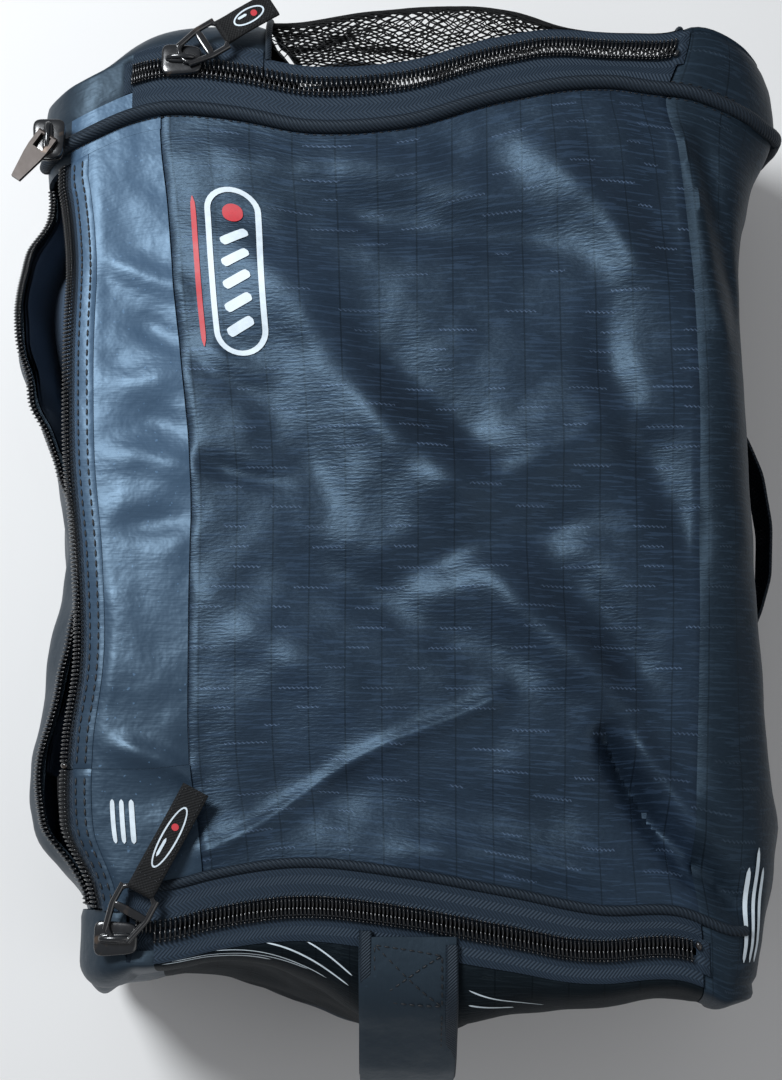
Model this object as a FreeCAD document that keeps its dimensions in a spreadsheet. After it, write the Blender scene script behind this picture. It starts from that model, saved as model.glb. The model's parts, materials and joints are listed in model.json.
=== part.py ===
"""A soft kit bag lying on its back: front panel up, three coil zips, two webbing handles.

Frame: +X across the bag, +Y along it towards the mesh end, +Z up from the surface it lies on.
The origin is under the middle of the whole bag, on that surface. Millimetres.
"""
import FreeCAD, Part
import Sketcher
import math
import os

V = FreeCAD.Vector
UP = V(0, 0, 1)
FAR = 1000  # a plane past every face of the bag

doc = FreeCAD.newDocument("KitBag")

# Driving dimensions: alias, value, what it is.
SIZES = [
    ("body_width", 378, "sewn shell, across"),
    ("body_length", 543, "sewn shell, along"),
    ("body_height", 168, "shell, as slumped on its back"),
    ("edge_round", 33, "outer rounding of the shell's edges"),
    ("corner_cut", 34, "how far the slack corner at the pocket's print end is drawn in"),
    ("corner_run", 130, "length of that slant along the print end"),
    ("wall", 4, "padded fabric wall"),
    ("fold_rise", 3.8, "height of the front's soft folds"),
    ("fold_sink", 2.6, "depth of the fold towards the right gusset"),
    ("fold_half", 17, "half width of the front's soft folds"),
    ("seam_inset", 83, "strip's seam from the shell's left side"),
    ("right_seam_inset", 40, "right gusset's seam from the shell's right side"),
    ("strip_width", 68, "coated strip, from its seam to its free edge"),
    ("head_margin", 23, "fixed coated fabric at the strip's mesh end"),
    ("foot_margin", 70, "fixed coated fabric at the strip's print end"),
    ("print_flap_inset", 62, "left end of the printed flap, from the shell's left side"),
    ("mesh_flap_inset", 130, "left end of the mesh flap, from the shell's left side"),
    ("fold_height", 46, "height of the end flaps' fold lines"),
    ("seam_gap", 0.5, "gap beside a piece that moves"),
    ("seat_gap", 0.3, "gap under a piece that only rests"),
    ("mesh_zip_inset", 43, "mesh-end zip from the shell's end"),
    ("print_zip_inset", 51, "print-end zip from the shell's end"),
    ("mesh_slider_inset", 74, "mesh-end slider, zip shut, from the shell's left side"),
    ("slot_half", 9, "half width of the slot under a zip"),
    ("slot_extra", 3, "slot beyond the parked slider"),
    ("tape_width", 17, "zip tape beyond the slot's middle"),
    ("tape_thick", 1, "zip tape"),
    ("coil_inner", 1.7, "half gap between the two coil rows"),
    ("coil_width", 3.6, "one coil row"),
    ("coil_height", 3, "coil row above its tape"),
    ("stop_length", 3.2, "zip stops"),
    ("row_clearance", 0.3, "slider to coil and tape"),
    ("slider_length", 21, "slider along its zip"),
    ("slider_plate", 1.6, "slider's plates and side walls"),
    ("post_length", 4, "slider's divider post, along the zip"),
    ("post_half", 1.2, "half width of the divider post"),
    ("crown_height", 5.2, "crown above the slider's top plate"),
    ("crown_length", 9, "crown along the pull"),
    ("crown_width", 3.4, "crown across the pull"),
    ("pin_radius", 1.2, "pull's pivot bars"),
    ("pin_clearance", 0.08, "pivot bar in its crown or tab"),
    ("link_length", 26, "loop pull, bar to bar"),
    ("link_near", 11, "loop pull's width at the crown"),
    ("link_far", 20, "loop pull's width at the tab"),
    ("link_rail", 2.4, "loop pull's side rails"),
    ("leaf_fork", 9, "leaf pull's fork, bar to blade"),
    ("leaf_length", 19, "leaf pull's blade"),
    ("leaf_width", 10, "leaf pull's blade"),
    ("print_tab_length", 54, "webbing tab at the print end"),
    ("mesh_tab_length", 30, "webbing tab at the mesh end"),
    ("tab_width", 14, "webbing tabs"),
    ("tab_thick", 2.4, "folded webbing tab"),
    ("tab_eye", 2.6, "outer radius of the tab's fold round its bar"),
    ("lip_height", 124, "left gusset's free edge at the pocket's mouth"),
    ("lip_tape", 8, "zip tape standing on the pocket's lip"),
    ("sag_bulge", 22, "how far the pocket's lip sags outwards"),
    ("sag_span", 160, "length of that sag"),
    ("sag_margin", 12, "sag from the mesh end of the mouth"),
    ("pocket_floor", 60, "height of the pocket's floor"),
    ("lining", 1.5, "pocket lining, floor and walls"),
    ("lining_rise", 12, "pale lining above the gusset's edge"),
    ("board_thick", 3, "stiffener board"),
    ("divider_inset", 100, "divider from the mesh end"),
    ("piping_radius", 3.6, "corded piping"),
    ("piping_inset", 16, "piping from the front panel's mesh end"),
    ("piping_rise", 20, "piping's left end above the level of the rounding's middle, degrees"),
    ("welt_width", 6, "welt along the print end"),
    ("welt_height", 3, "welt above the panel"),
    ("webbing_thick", 2.6, "both handles"),
    ("webbing_width", 50, "end handle"),
    ("end_reach", 27, "end handle beyond the shell"),
    ("end_foot", 12, "sewn foot of the end handle on the flap's face"),
    ("end_drop", 5, "end handle's lower foot above the fold line"),
    ("end_offset", 3, "end handle's middle, across the bag"),
    ("side_webbing", 38, "side handle, up and down"),
    ("side_reach", 20, "side handle beyond the gusset"),
    ("side_span", 112, "side handle between its sewn feet"),
    ("side_foot", 26, "sewn foot of the side handle"),
    ("side_height", 86, "middle of the side handle above the surface"),
    ("side_offset", 7, "side handle's middle, along the bag"),
    ("handle_bend", 26, "bend radius of the handles"),
]

# Directions of the pulls in plan, degrees from +X.
MESH_PULL = 32
PRINT_PULL = 62
LEAF_PULL = 236

# The end handle on the flap's rounded top, degrees from upright.
HUG_FROM = 12  # where it starts
HUG_STEP = 24  # between the corners of its path
HUG_TO = 60  # where it leaves the round

# The front's soft folds: middle across from the strip's seam, or back from the right seam
# where it is negative; middle up from the print end's edge, or back from the mesh end's edge
# where it is negative; half length; direction in plan from +X in degrees.
RISEN_FOLDS = [
    (81, 72, 84, 28),
    (-75, 138, 45, -50),
    (80, -158, 78, -51),
    (-75, -198, 62, 24),
    (-47, -75, 52, -49),
]
SUNK_FOLD = (-22, 46, 44, -55)

sheet = doc.addObject("Spreadsheet::Sheet", "Sizes")
for row, (alias, number, meaning) in enumerate(SIZES, start=1):
    sheet.set(f"A{row}", str(number))
    sheet.setAlias(f"A{row}", alias)
    sheet.set(f"B{row}", meaning)
doc.recompute()

# Places worked out from the sizes, each named once.
places = doc.addObject("App::VarSet", "Places")
nodes = []


def place(name, formula):
    """Name a place; the formula may use the sheet's aliases and earlier places."""
    places.addProperty("App::PropertyFloat", name)
    places.setExpression(name, formula)
    doc.recompute([places])
    return f"Places.{name}"


def value(formula):
    """What a formula comes to now, as a plain number."""
    return float(places.evalExpression(str(formula)))


# The sheet's aliases as formulas.
WALL = "Sizes.wall"
GAP = "Sizes.seam_gap"
SEAT = "Sizes.seat_gap"
LINING = "Sizes.lining"
FOLD = "Sizes.fold_height"
LIP = "Sizes.lip_height"
ROUND = "Sizes.edge_round"
SLIDER = "Sizes.slider_length"
LOW = str(-FAR)
HIGH = str(FAR)

# Across the bag.
LEFT = place("left", "-(Sizes.body_width + Sizes.side_reach - Sizes.sag_bulge) / 2")
RIGHT = place("right", f"{LEFT} + Sizes.body_width")
INNER_LEFT = place("inner_left", f"{LEFT} + {WALL}")
FLAT_LEFT = place("flat_left", f"{LEFT} + {ROUND}")
FLAT_RIGHT = place("flat_right", f"{RIGHT} - {ROUND}")
RIGHT_SEAM = place("right_seam", f"{RIGHT} - Sizes.right_seam_inset")
SEAM = place("seam", f"{LEFT} + Sizes.seam_inset")
STRIP_EDGE = place("strip_edge", f"{SEAM} - Sizes.strip_width")
POCKET_ZIP = place("pocket_zip", f"{STRIP_EDGE} - Sizes.slot_half")
PRINT_FLAP_X = place("print_flap_x", f"{LEFT} + Sizes.print_flap_inset")
MESH_FLAP_X = place("mesh_flap_x", f"{LEFT} + Sizes.mesh_flap_inset")
PRINT_SLIDER = place("print_slider", f"{PRINT_FLAP_X} - {SLIDER} / 2")
MESH_SLIDER = place("mesh_slider", f"{LEFT} + Sizes.mesh_slider_inset")

# Along the bag.
PRINT_END = place("print_end", "-(Sizes.body_length - Sizes.end_reach) / 2")
MESH_END = place("mesh_end", f"{PRINT_END} + Sizes.body_length")
PRINT_ZIP = place("print_zip", f"{PRINT_END} + Sizes.print_zip_inset")
MESH_ZIP = place("mesh_zip", f"{MESH_END} - Sizes.mesh_zip_inset")
PANEL_PRINT = place("panel_print", f"{PRINT_ZIP} + Sizes.slot_half")
PANEL_MESH = place("panel_mesh", f"{MESH_ZIP} - Sizes.slot_half")
PRINT_FLAP = place("print_flap", f"{PRINT_ZIP} - Sizes.slot_half")
MESH_FLAP = place("mesh_flap", f"{MESH_ZIP} + Sizes.slot_half")
STRIP_LOW = place("strip_low", f"{PANEL_PRINT} + Sizes.foot_margin")
STRIP_HIGH = place("strip_high", f"{PANEL_MESH} - Sizes.head_margin")
POCKET_SLIDER = place("pocket_slider", f"{STRIP_HIGH} - 2 * {GAP} - {SLIDER} / 2")

# Up from the surface.
TOP = place("top", "Sizes.body_height")
INNER_TOP = place("inner_top", f"{TOP} - {WALL}")
BOARD_TOP = place("board_top", f"{WALL} + Sizes.board_thick")
TAPE_TOP = place("tape_top", f"{TOP} + Sizes.tape_thick")
COIL_TOP = place("coil_top", f"{TAPE_TOP} + Sizes.coil_height")
PLATE_TOP = place("plate_top", f"{COIL_TOP} + Sizes.row_clearance + Sizes.slider_plate")
PIN_Z = place("pin_z", f"{PLATE_TOP} + Sizes.crown_height / 2")

# Across a zip, from its middle.
COIL_OUTER = place("coil_outer", "Sizes.coil_inner + Sizes.coil_width")
SLIDER_HALF = place("slider_half", f"{COIL_OUTER} + Sizes.row_clearance + Sizes.slider_plate")
HOLE = place("hole", "Sizes.pin_radius + Sizes.pin_clearance")


def as_node(obj, name):
    """Mark a finished object as a sub-part and give it its name."""
    obj.Label = name
    nodes.append(obj)
    return obj


def bind(obj, **formulas):
    for prop, formula in formulas.items():
        obj.setExpression(prop, str(formula))
    return obj


def put(obj, x="0", y="0", z="0"):
    """Bind an object's place."""
    for axis, formula in (("x", x), ("y", y), ("z", z)):
        obj.setExpression(f".Placement.Base.{axis}", str(formula))
    return obj


def box(name, x, y, z):
    """A box between pairs of faces; each face is a formula."""
    obj = doc.addObject("Part::Box", name)
    bind(
        obj,
        Length=f"({x[1]}) - ({x[0]})",
        Width=f"({y[1]}) - ({y[0]})",
        Height=f"({z[1]}) - ({z[0]})",
    )
    return put(obj, x[0], y[0], z[0])


def box_node(name, x, y, z):
    return as_node(box("Box_" + name, x, y, z), name)


def cross_bar(name, radius, half, x="0", z="0"):
    """A round bar along Y, centred on y = 0."""
    obj = doc.addObject("Part::Cylinder", name)
    obj.Placement.Rotation = FreeCAD.Rotation(UP, V(0, -1, 0))
    bind(obj, Radius=radius, Height=f"2 * ({half})")
    return put(obj, x, half, z)


def boolean(kind, name, base, tool):
    obj = doc.addObject(f"Part::{kind}", name)
    obj.Base = base
    obj.Tool = tool
    return obj


def fuse(name, pieces):
    obj = doc.addObject("Part::MultiFuse", name)
    obj.Shapes = pieces
    obj.Refine = True
    return obj


def turn(obj, degrees):
    obj.Placement.Rotation = FreeCAD.Rotation(UP, degrees)
    return obj


def plate(name, outlines, thickness):
    """A body padded about the XY plane from closed outlines of (x, y) formulas."""
    body = doc.addObject("PartDesign::Body", name)
    sketch = body.newObject("Sketcher::SketchObject", "Sketch_" + name)
    plane = [item for item in body.Origin.OriginFeatures if item.Role == "XY_Plane"][0]
    sketch.AttachmentSupport = [(plane, "")]
    sketch.MapMode = "FlatFace"
    for outline in outlines:
        first = sketch.GeometryCount
        count = len(outline)
        corners = [V(value(x), value(y), 0) for x, y in outline]
        for i in range(count):
            sketch.addGeometry(Part.LineSegment(corners[i], corners[(i + 1) % count]))
        for i in range(count):
            following = first + (i + 1) % count
            sketch.addConstraint(Sketcher.Constraint("Coincident", first + i, 2, following, 1))
        for i, (x, y) in enumerate(outline):
            for kind, formula in (("DistanceX", x), ("DistanceY", y)):
                rule = Sketcher.Constraint(kind, -1, 1, first + i, 1, value(formula))
                index = sketch.addConstraint(rule)
                sketch.setExpression(f"Constraints[{index}]", formula)
    pad = body.newObject("PartDesign::Pad", "Pad_" + name)
    pad.Profile = sketch
    pad.Midplane = True
    pad.setExpression("Length", thickness)
    body.Tip = pad
    return body


# ---------------------------------------------------------------- shell


def rounded_block(name, inset, radius):
    """The bag's outline with its slanted corner, or its inside when inset by the wall."""
    left, right = f"({LEFT} + {inset})", f"({RIGHT} - {inset})"
    low, high = f"({PRINT_END} + {inset})", f"({MESH_END} - {inset})"
    slope = "atan(Sizes.corner_cut / Sizes.corner_run)"
    along = f"(({inset} - ({inset} - Sizes.corner_cut) * cos({slope})) / sin({slope}))"
    up = f"(Sizes.corner_cut + {inset} * (1 - sin({slope})) / cos({slope}))"
    outline = (
        (f"{LEFT} + {along}", low),
        (right, low),
        (right, high),
        (left, high),
        (left, f"{PRINT_END} + {up}"),
    )
    block = put(plate("Block_" + name, [outline], f"{TOP} - 2 * {inset}"), "0", "0", f"{TOP} / 2")
    doc.recompute()
    rounded = doc.addObject("Part::Fillet", name)
    rounded.Base = block
    rounded.Edges = [(edge + 1, radius, radius) for edge in range(len(block.Shape.Edges))]
    return rounded


def make_shell():
    outside = rounded_block("Outside", "0", value(ROUND))
    inside = rounded_block("Inside", WALL, value(f"{ROUND} - {WALL}"))
    return boolean("Cut", "Shell", outside, inside)


shell = make_shell()


def panel(name, *regions):
    """The part of the shell inside one or more regions, each given by its x, y and z faces."""
    boxes = [box(f"Region_{name}_{i}", *region) for i, region in enumerate(regions)]
    region = boxes[0] if len(boxes) == 1 else fuse("Regions_" + name, boxes)
    return as_node(boolean("Common", "Cut_" + name, shell, region), name)


def shell_panels():
    """Back, gussets, corners, skirts and end flaps, cut along their seams."""
    full = (LOW, HIGH)
    long_run = (PRINT_FLAP, MESH_FLAP)
    mouth_up = (LIP, HIGH)
    print_side = (LOW, PRINT_FLAP)
    mesh_side = (MESH_FLAP, HIGH)
    panel("back_panel", ((FLAT_LEFT, RIGHT_SEAM), long_run, (LOW, ROUND)))
    panel("left_gusset", ((LOW, FLAT_LEFT), long_run, (LOW, LIP)))
    panel("right_gusset", ((RIGHT_SEAM, HIGH), long_run, full))
    panel("strip_head", ((LOW, SEAM), (STRIP_HIGH, PANEL_MESH), mouth_up))
    panel("strip_foot", ((LOW, SEAM), (PANEL_PRINT, STRIP_LOW), mouth_up))
    reach = f"({SLIDER} / 2 + Sizes.slot_extra)"
    panel(
        "corner_print_left",
        ((LOW, PRINT_FLAP_X), print_side, full),
        ((LOW, f"{PRINT_SLIDER} - {reach}"), (PRINT_FLAP, PANEL_PRINT), mouth_up),
    )
    panel(
        "corner_mesh_left",
        ((LOW, MESH_FLAP_X), mesh_side, full),
        ((LOW, f"{MESH_SLIDER} - {reach}"), (PANEL_MESH, MESH_FLAP), mouth_up),
    )
    panel("corner_print_right", ((RIGHT_SEAM, HIGH), print_side, full))
    panel("corner_mesh_right", ((RIGHT_SEAM, HIGH), mesh_side, full))
    panel("skirt_print", ((PRINT_FLAP_X, RIGHT_SEAM), print_side, (LOW, FOLD)))
    panel("skirt_mesh", ((MESH_FLAP_X, RIGHT_SEAM), mesh_side, (LOW, FOLD)))
    above_fold = (f"{FOLD} + {SEAT}", HIGH)
    print_x = (f"{PRINT_FLAP_X} + {GAP}", f"{RIGHT_SEAM} - {GAP}")
    mesh_x = (f"{MESH_FLAP_X} + {GAP}", f"{RIGHT_SEAM} - {GAP}")
    panel("print_flap", (print_x, print_side, above_fold))
    panel("mesh_flap", (mesh_x, mesh_side, above_fold))


def fold(name, spot, height):
    """A long low lens lying in the front's surface."""
    across, along, half_length, degrees = spot
    lens = doc.addObject("Part::Ellipsoid", name)
    lens.Placement.Rotation = FreeCAD.Rotation(UP, degrees)
    bind(lens, Radius1=height, Radius2=half_length, Radius3="Sizes.fold_half")
    x = f"{RIGHT_SEAM if across < 0 else SEAM} + {across}"
    y = f"{PANEL_MESH if along < 0 else PANEL_PRINT} + {along}"
    return put(lens, x, y, TOP)


def flat_panels():
    """The ripstop front, the coated strip beside it and the board on the back panel."""
    skin = (INNER_TOP, TOP)
    strip_y = (f"{STRIP_LOW} + {GAP}", f"{STRIP_HIGH} - {GAP}")
    board_z = (WALL, BOARD_TOP)
    flat = box("Front_flat", (SEAM, RIGHT_SEAM), (PANEL_PRINT, PANEL_MESH), skin)
    raised = [fold(f"Fold_{i}", spot, "Sizes.fold_rise") for i, spot in enumerate(RISEN_FOLDS)]
    sunk = fold("Fold_sunk", SUNK_FOLD, "Sizes.fold_sink")
    as_node(boolean("Cut", "Front", fuse("Front_raised", [flat, *raised]), sunk), "front_panel")
    box_node("coated_strip", (STRIP_EDGE, f"{SEAM} - {GAP}"), strip_y, skin)
    board_y = (f"{PRINT_END} + Sizes.corner_cut + {ROUND}", MESH_FLAP)
    box_node("stiffener_board", (FLAT_LEFT, RIGHT_SEAM), board_y, board_z)


def inner_walls():
    """The pocket's wall, floor and lining, and the divider in front of the mesh end."""
    wall_x = (SEAM, f"{SEAM} + {LINING}")
    long_run = (PANEL_PRINT, PANEL_MESH)
    upright = (BOARD_TOP, INNER_TOP)
    floor_top = f"Sizes.pocket_floor + {LINING}"
    lining_x = (INNER_LEFT, f"{INNER_LEFT} + {LINING}")
    lining_y = (f"{STRIP_LOW} + {GAP}", f"{STRIP_HIGH} - {GAP}")
    divider = f"{MESH_END} - Sizes.divider_inset"
    box_node("pocket_wall", wall_x, long_run, ("Sizes.pocket_floor", INNER_TOP))
    box_node("pocket_floor", (INNER_LEFT, SEAM), long_run, ("Sizes.pocket_floor", floor_top))
    box_node("pocket_lining", lining_x, lining_y, (floor_top, f"{LIP} + Sizes.lining_rise"))
    divider_y = (f"{divider} - {LINING}", divider)
    box_node("compartment_divider", (wall_x[1], RIGHT_SEAM), divider_y, upright)


# ---------------------------------------------------------------- edges


def top_piping():
    """The corded piping, along the front panel's end and down over both rounded sides."""
    radius = value("Sizes.piping_radius")
    bend = value(f"{ROUND} + Sizes.piping_radius + {SEAT}")
    y = value(f"{PANEL_MESH} - Sizes.piping_inset")
    middle = value(f"{TOP} - {ROUND}")
    left, right = value(FLAT_LEFT), value(FLAT_RIGHT)

    def on_round(x, sign, degrees):
        angle = math.radians(degrees)
        return V(x + sign * bend * math.cos(angle), y, middle + bend * math.sin(angle))

    rise = value("Sizes.piping_rise")
    start = on_round(left, -1, rise)
    over_left, over_right = on_round(left, -1, 90), on_round(right, 1, 90)
    path = Part.Wire([
        Part.Arc(start, on_round(left, -1, (90 + rise) / 2), over_left).toShape(),
        Part.LineSegment(over_left, over_right).toShape(),
        Part.Arc(over_right, on_round(right, 1, 45), on_round(right, 1, 0)).toShape(),
    ])
    heading = V(math.sin(math.radians(rise)), 0, math.cos(math.radians(rise)))
    profile = Part.Wire(Part.makeCircle(radius, start, heading))
    piping = doc.addObject("Part::Feature", "Piping")
    piping.Shape = path.makePipeShell([profile], True, False)
    return as_node(piping, "top_piping")


def bottom_welt():
    """The raised welt beside the print-end zip's tape."""
    near = f"{PRINT_ZIP} + Sizes.tape_width"
    welt_y = (near, f"{near} + Sizes.welt_width")
    box_node("bottom_welt", (SEAM, RIGHT_SEAM), welt_y, (TOP, f"{TOP} + Sizes.welt_height"))


# ---------------------------------------------------------------- zips


def beside(zip_y, side, near, far):
    """The two y faces of something beside an end zip, on its +Y or -Y side."""
    if side > 0:
        return f"{zip_y} + {near}", f"{zip_y} + {far}"
    return f"{zip_y} - {far}", f"{zip_y} - {near}"


def zip_half(name, zip_y, side, start, tape_end, coil_end):
    """Tape and coil row on one side of an end zip."""
    tape_y = beside(zip_y, side, "Sizes.coil_inner", "Sizes.tape_width")
    coil_y = beside(zip_y, side, "Sizes.coil_inner", COIL_OUTER)
    box_node(name + "_tape", (start, tape_end), tape_y, (TOP, TAPE_TOP))
    box_node(name + "_coil", (start, coil_end), coil_y, (TAPE_TOP, COIL_TOP))


def end_zip(name, zip_y, outward, parked, flap_x):
    """An end zip: one half on the front panel, one on the flap, and a stop at its far end."""
    tape_end = f"{RIGHT_SEAM} - {GAP}"
    coil_end = f"{tape_end} - Sizes.stop_length - {GAP}"
    start = f"{parked} - {SLIDER} / 2"
    flap_start = f"{flap_x} + {GAP}"
    zip_half(name + "_panel", zip_y, -outward, start, tape_end, coil_end)
    zip_half(name + "_flap", zip_y, outward, flap_start, tape_end, coil_end)
    stop_x = (coil_end, f"{coil_end} + Sizes.stop_length")
    stop_y = beside(zip_y, -outward, "Sizes.coil_inner", COIL_OUTER)
    box_node(name + "_stop", stop_x, stop_y, (TAPE_TOP, COIL_TOP))


def pocket_zip():
    """The strip's half of the pocket zip, with a stop at each end."""
    coil_x = (f"{POCKET_ZIP} + Sizes.coil_inner", f"{POCKET_ZIP} + {COIL_OUTER}")
    tape_x = (coil_x[0], f"{POCKET_ZIP} + Sizes.tape_width")
    tape_y = (f"{STRIP_LOW} + {GAP}", f"{STRIP_HIGH} - {GAP}")
    coil_y = (f"{tape_y[0]} + Sizes.stop_length", f"{tape_y[1]}")
    box_node("zip3_strip_tape", tape_x, tape_y, (TOP, TAPE_TOP))
    box_node("zip3_strip_coil", coil_x, coil_y, (TAPE_TOP, COIL_TOP))
    box_node("zip3_stop", coil_x, (tape_y[0], coil_y[0]), (TAPE_TOP, COIL_TOP))


def pocket_lip():
    """The pocket's free edge: it sags outwards and carries the other half of the zip."""
    middle = place("sag_middle", f"{STRIP_HIGH} - Sizes.sag_margin - Sizes.sag_span / 2")
    radius = place("sag_radius", "((Sizes.sag_span / 2) ^ 2 + Sizes.sag_bulge ^ 2) / (2 * Sizes.sag_bulge)")
    centre = place("sag_centre", f"{LEFT} - Sizes.sag_bulge + {radius}")
    half_span = "Sizes.sag_span / 2"

    def disc(name, inset, z, height):
        """A disc whose rim is the sag, inset from its outer face."""
        obj = doc.addObject("Part::Cylinder", name)
        bind(obj, Radius=f"{radius} - {inset}", Height=height)
        return put(obj, centre, middle, z)

    shelf_z = f"{LIP} - {WALL}"
    beyond = box("Beyond_gusset", (LOW, LEFT), (LOW, HIGH), (shelf_z, LIP))
    shelf = boolean("Common", "Shelf", disc("Shelf_disc", "0", shelf_z, WALL), beyond)
    as_node(shelf, "pocket_lip")
    levels = [
        ("zip3_lip_tape", "Sizes.tape_thick", LIP, "Sizes.lip_tape"),
        ("zip3_lip_coil", "Sizes.coil_width", f"{LIP} + Sizes.lip_tape", "Sizes.coil_height"),
    ]
    for name, depth, z, height in levels:
        top = f"{z} + {height}"
        rim = disc("Rim_" + name, "0", z, height)
        core = disc("Core_" + name, depth, z, height)
        ring = boolean("Cut", "Ring_" + name, rim, core)
        bow_y = (f"{middle} - {half_span}", f"{middle} + {half_span}")
        window = box("Window_" + name, (LOW, f"{LEFT} + {depth}"), bow_y, (z, top))
        bow = boolean("Common", "Bow_" + name, ring, window)
        edge_x = (LEFT, f"{LEFT} + {depth}")
        above = box("Above_" + name, edge_x, (f"{bow_y[1]} - {depth}", f"{STRIP_HIGH} - {GAP}"), (z, top))
        below = box("Below_" + name, edge_x, (f"{STRIP_LOW} + {GAP}", f"{bow_y[0]} + {depth}"), (z, top))
        as_node(fuse("Edge_" + name, [bow, above, below]), name)


# ---------------------------------------------------------------- sliders and pulls


def slider(name, x, y, degrees, pull_degrees):
    """A slider: two plates joined by a post, side walls, and a crown bored for the pull."""
    half, long_half = SLIDER_HALF, f"{SLIDER} / 2"
    slack = "Sizes.row_clearance"
    across = (f"-{half}", half)
    along = (f"-{long_half}", long_half)
    roof = f"{COIL_TOP} - {TOP} + {slack}"
    roof_top = f"{PLATE_TOP} - {TOP}"
    wall_z = (f"{TAPE_TOP} - {TOP} + {slack}", roof)
    post_x = (along[0], f"{along[0]} + Sizes.post_length")
    post_y = ("-Sizes.post_half", "Sizes.post_half")
    crown_half = "Sizes.crown_length / 2"
    crown_y = ("-Sizes.crown_width / 2", "Sizes.crown_width / 2")
    crown_z = (roof_top, f"{roof_top} + Sizes.crown_height")
    block = box(f"Crown_{name}", (f"-{crown_half}", crown_half), crown_y, crown_z)
    bore = cross_bar(f"Bore_{name}", HOLE, half, "0", f"{PIN_Z} - {TOP}")
    crown = turn(boolean("Cut", f"Bored_{name}", block, bore), pull_degrees - degrees)
    pieces = [
        box(f"Under_{name}", along, across, (f"-{slack} - Sizes.slider_plate", f"-{slack}")),
        box(f"Over_{name}", along, across, (roof, roof_top)),
        box(f"Near_{name}", along, (across[0], f"-({COIL_OUTER} + {slack})"), wall_z),
        box(f"Far_{name}", along, (f"{COIL_OUTER} + {slack}", across[1]), wall_z),
        box(f"Post_{name}", post_x, post_y, (f"-{slack}", roof)),
        crown,
    ]
    body = turn(fuse(f"Slider_{name}", pieces), degrees)
    put(body, x, y, TOP)
    return as_node(body, name)


def rails(near, far, length):
    """The outlines of a pull's two side rails, from its pivot bar to its far end."""
    wide = "Sizes.link_rail"
    outlines = []
    for sign in ("", "-"):
        outlines.append([
            ("0", f"{sign}({near} / 2 - {wide})"),
            (length, f"{sign}({far} / 2 - {wide})"),
            (length, f"{sign}({far} / 2)"),
            ("0", f"{sign}({near} / 2)"),
        ])
    return outlines


def loop_pull(name, x, y, degrees):
    """The moulded loop: a pivot bar, two spreading rails and the bar that holds the tab."""
    length = "Sizes.link_length"
    sides = plate(f"Rails_{name}", rails("Sizes.link_near", "Sizes.link_far", length), "Sizes.link_rail")
    near = cross_bar(f"Near_bar_{name}", "Sizes.pin_radius", "Sizes.link_near / 2")
    far = cross_bar(f"Far_bar_{name}", "Sizes.pin_radius", "Sizes.link_far / 2", length)
    body = turn(fuse(f"Loop_{name}", [sides, near, far]), degrees)
    return as_node(put(body, x, y, PIN_Z), name)


def leaf_pull(name, x, y, degrees):
    """The leaf pull: a pivot bar, a short fork and a blade that tapers to its tip."""
    fork, wide = "Sizes.leaf_fork", "Sizes.leaf_width / 2"
    tip = f"{fork} + Sizes.leaf_length"
    shoulder = f"{fork} + Sizes.leaf_length / 4"
    sides = plate(f"Fork_{name}", rails("Sizes.link_near", "Sizes.link_near", fork), "Sizes.link_rail")
    blade = plate(
        f"Blade_{name}",
        [[
            (f"{fork} - {GAP}", "-Sizes.link_near / 2"),
            (shoulder, f"-{wide}"),
            (tip, f"-{wide} / 2"),
            (tip, f"{wide} / 2"),
            (shoulder, wide),
            (f"{fork} - {GAP}", "Sizes.link_near / 2"),
        ]],
        "Sizes.link_rail",
    )
    near = cross_bar(f"Near_bar_{name}", "Sizes.pin_radius", "Sizes.link_near / 2")
    body = turn(fuse(f"Leaf_{name}", [sides, blade, near]), degrees)
    return as_node(put(body, x, y, PIN_Z), name)


def webbing_tab(name, x, y, degrees, length):
    """A folded webbing tab whose fold turns on the loop pull's far bar."""
    start = "Sizes.link_length"
    half, thin = "Sizes.tab_width / 2", "Sizes.tab_thick / 2"
    flat = box(f"Flat_{name}", (start, f"{start} + {length}"), (f"-{half}", half), (f"-{thin}", thin))
    fold = cross_bar(f"Fold_{name}", "Sizes.tab_eye", half, start)
    bore = cross_bar(f"Bore_{name}", HOLE, f"{half} + {GAP}", start)
    body = turn(boolean("Cut", f"Tab_{name}", fuse(f"Fused_{name}", [flat, fold]), bore), degrees)
    return as_node(put(body, x, y, PIN_Z), name)


# ---------------------------------------------------------------- handles


def rounded_path(corners, radius):
    """Straight runs joined by tangent arcs of one radius, or less where a run is short."""
    edges = []
    at = corners[0]
    for i in range(1, len(corners) - 1):
        corner = corners[i]
        back = (corners[i - 1] - corner).normalize()
        ahead = (corners[i + 1] - corner).normalize()
        half = back.getAngle(ahead) / 2
        room = 0.45 * min((corners[i - 1] - corner).Length, (corners[i + 1] - corner).Length)
        cutback = min(radius / math.tan(half), room)
        into, out = corner + back * cutback, corner + ahead * cutback
        towards = (back + ahead).normalize()
        depth = cutback / math.cos(half) - cutback * math.tan(half)
        edges.append(Part.LineSegment(at, into).toShape())
        edges.append(Part.Arc(into, corner + towards * depth, out).toShape())
        at = out
    edges.append(Part.LineSegment(at, corners[-1]).toShape())
    return Part.Wire(edges)


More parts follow.
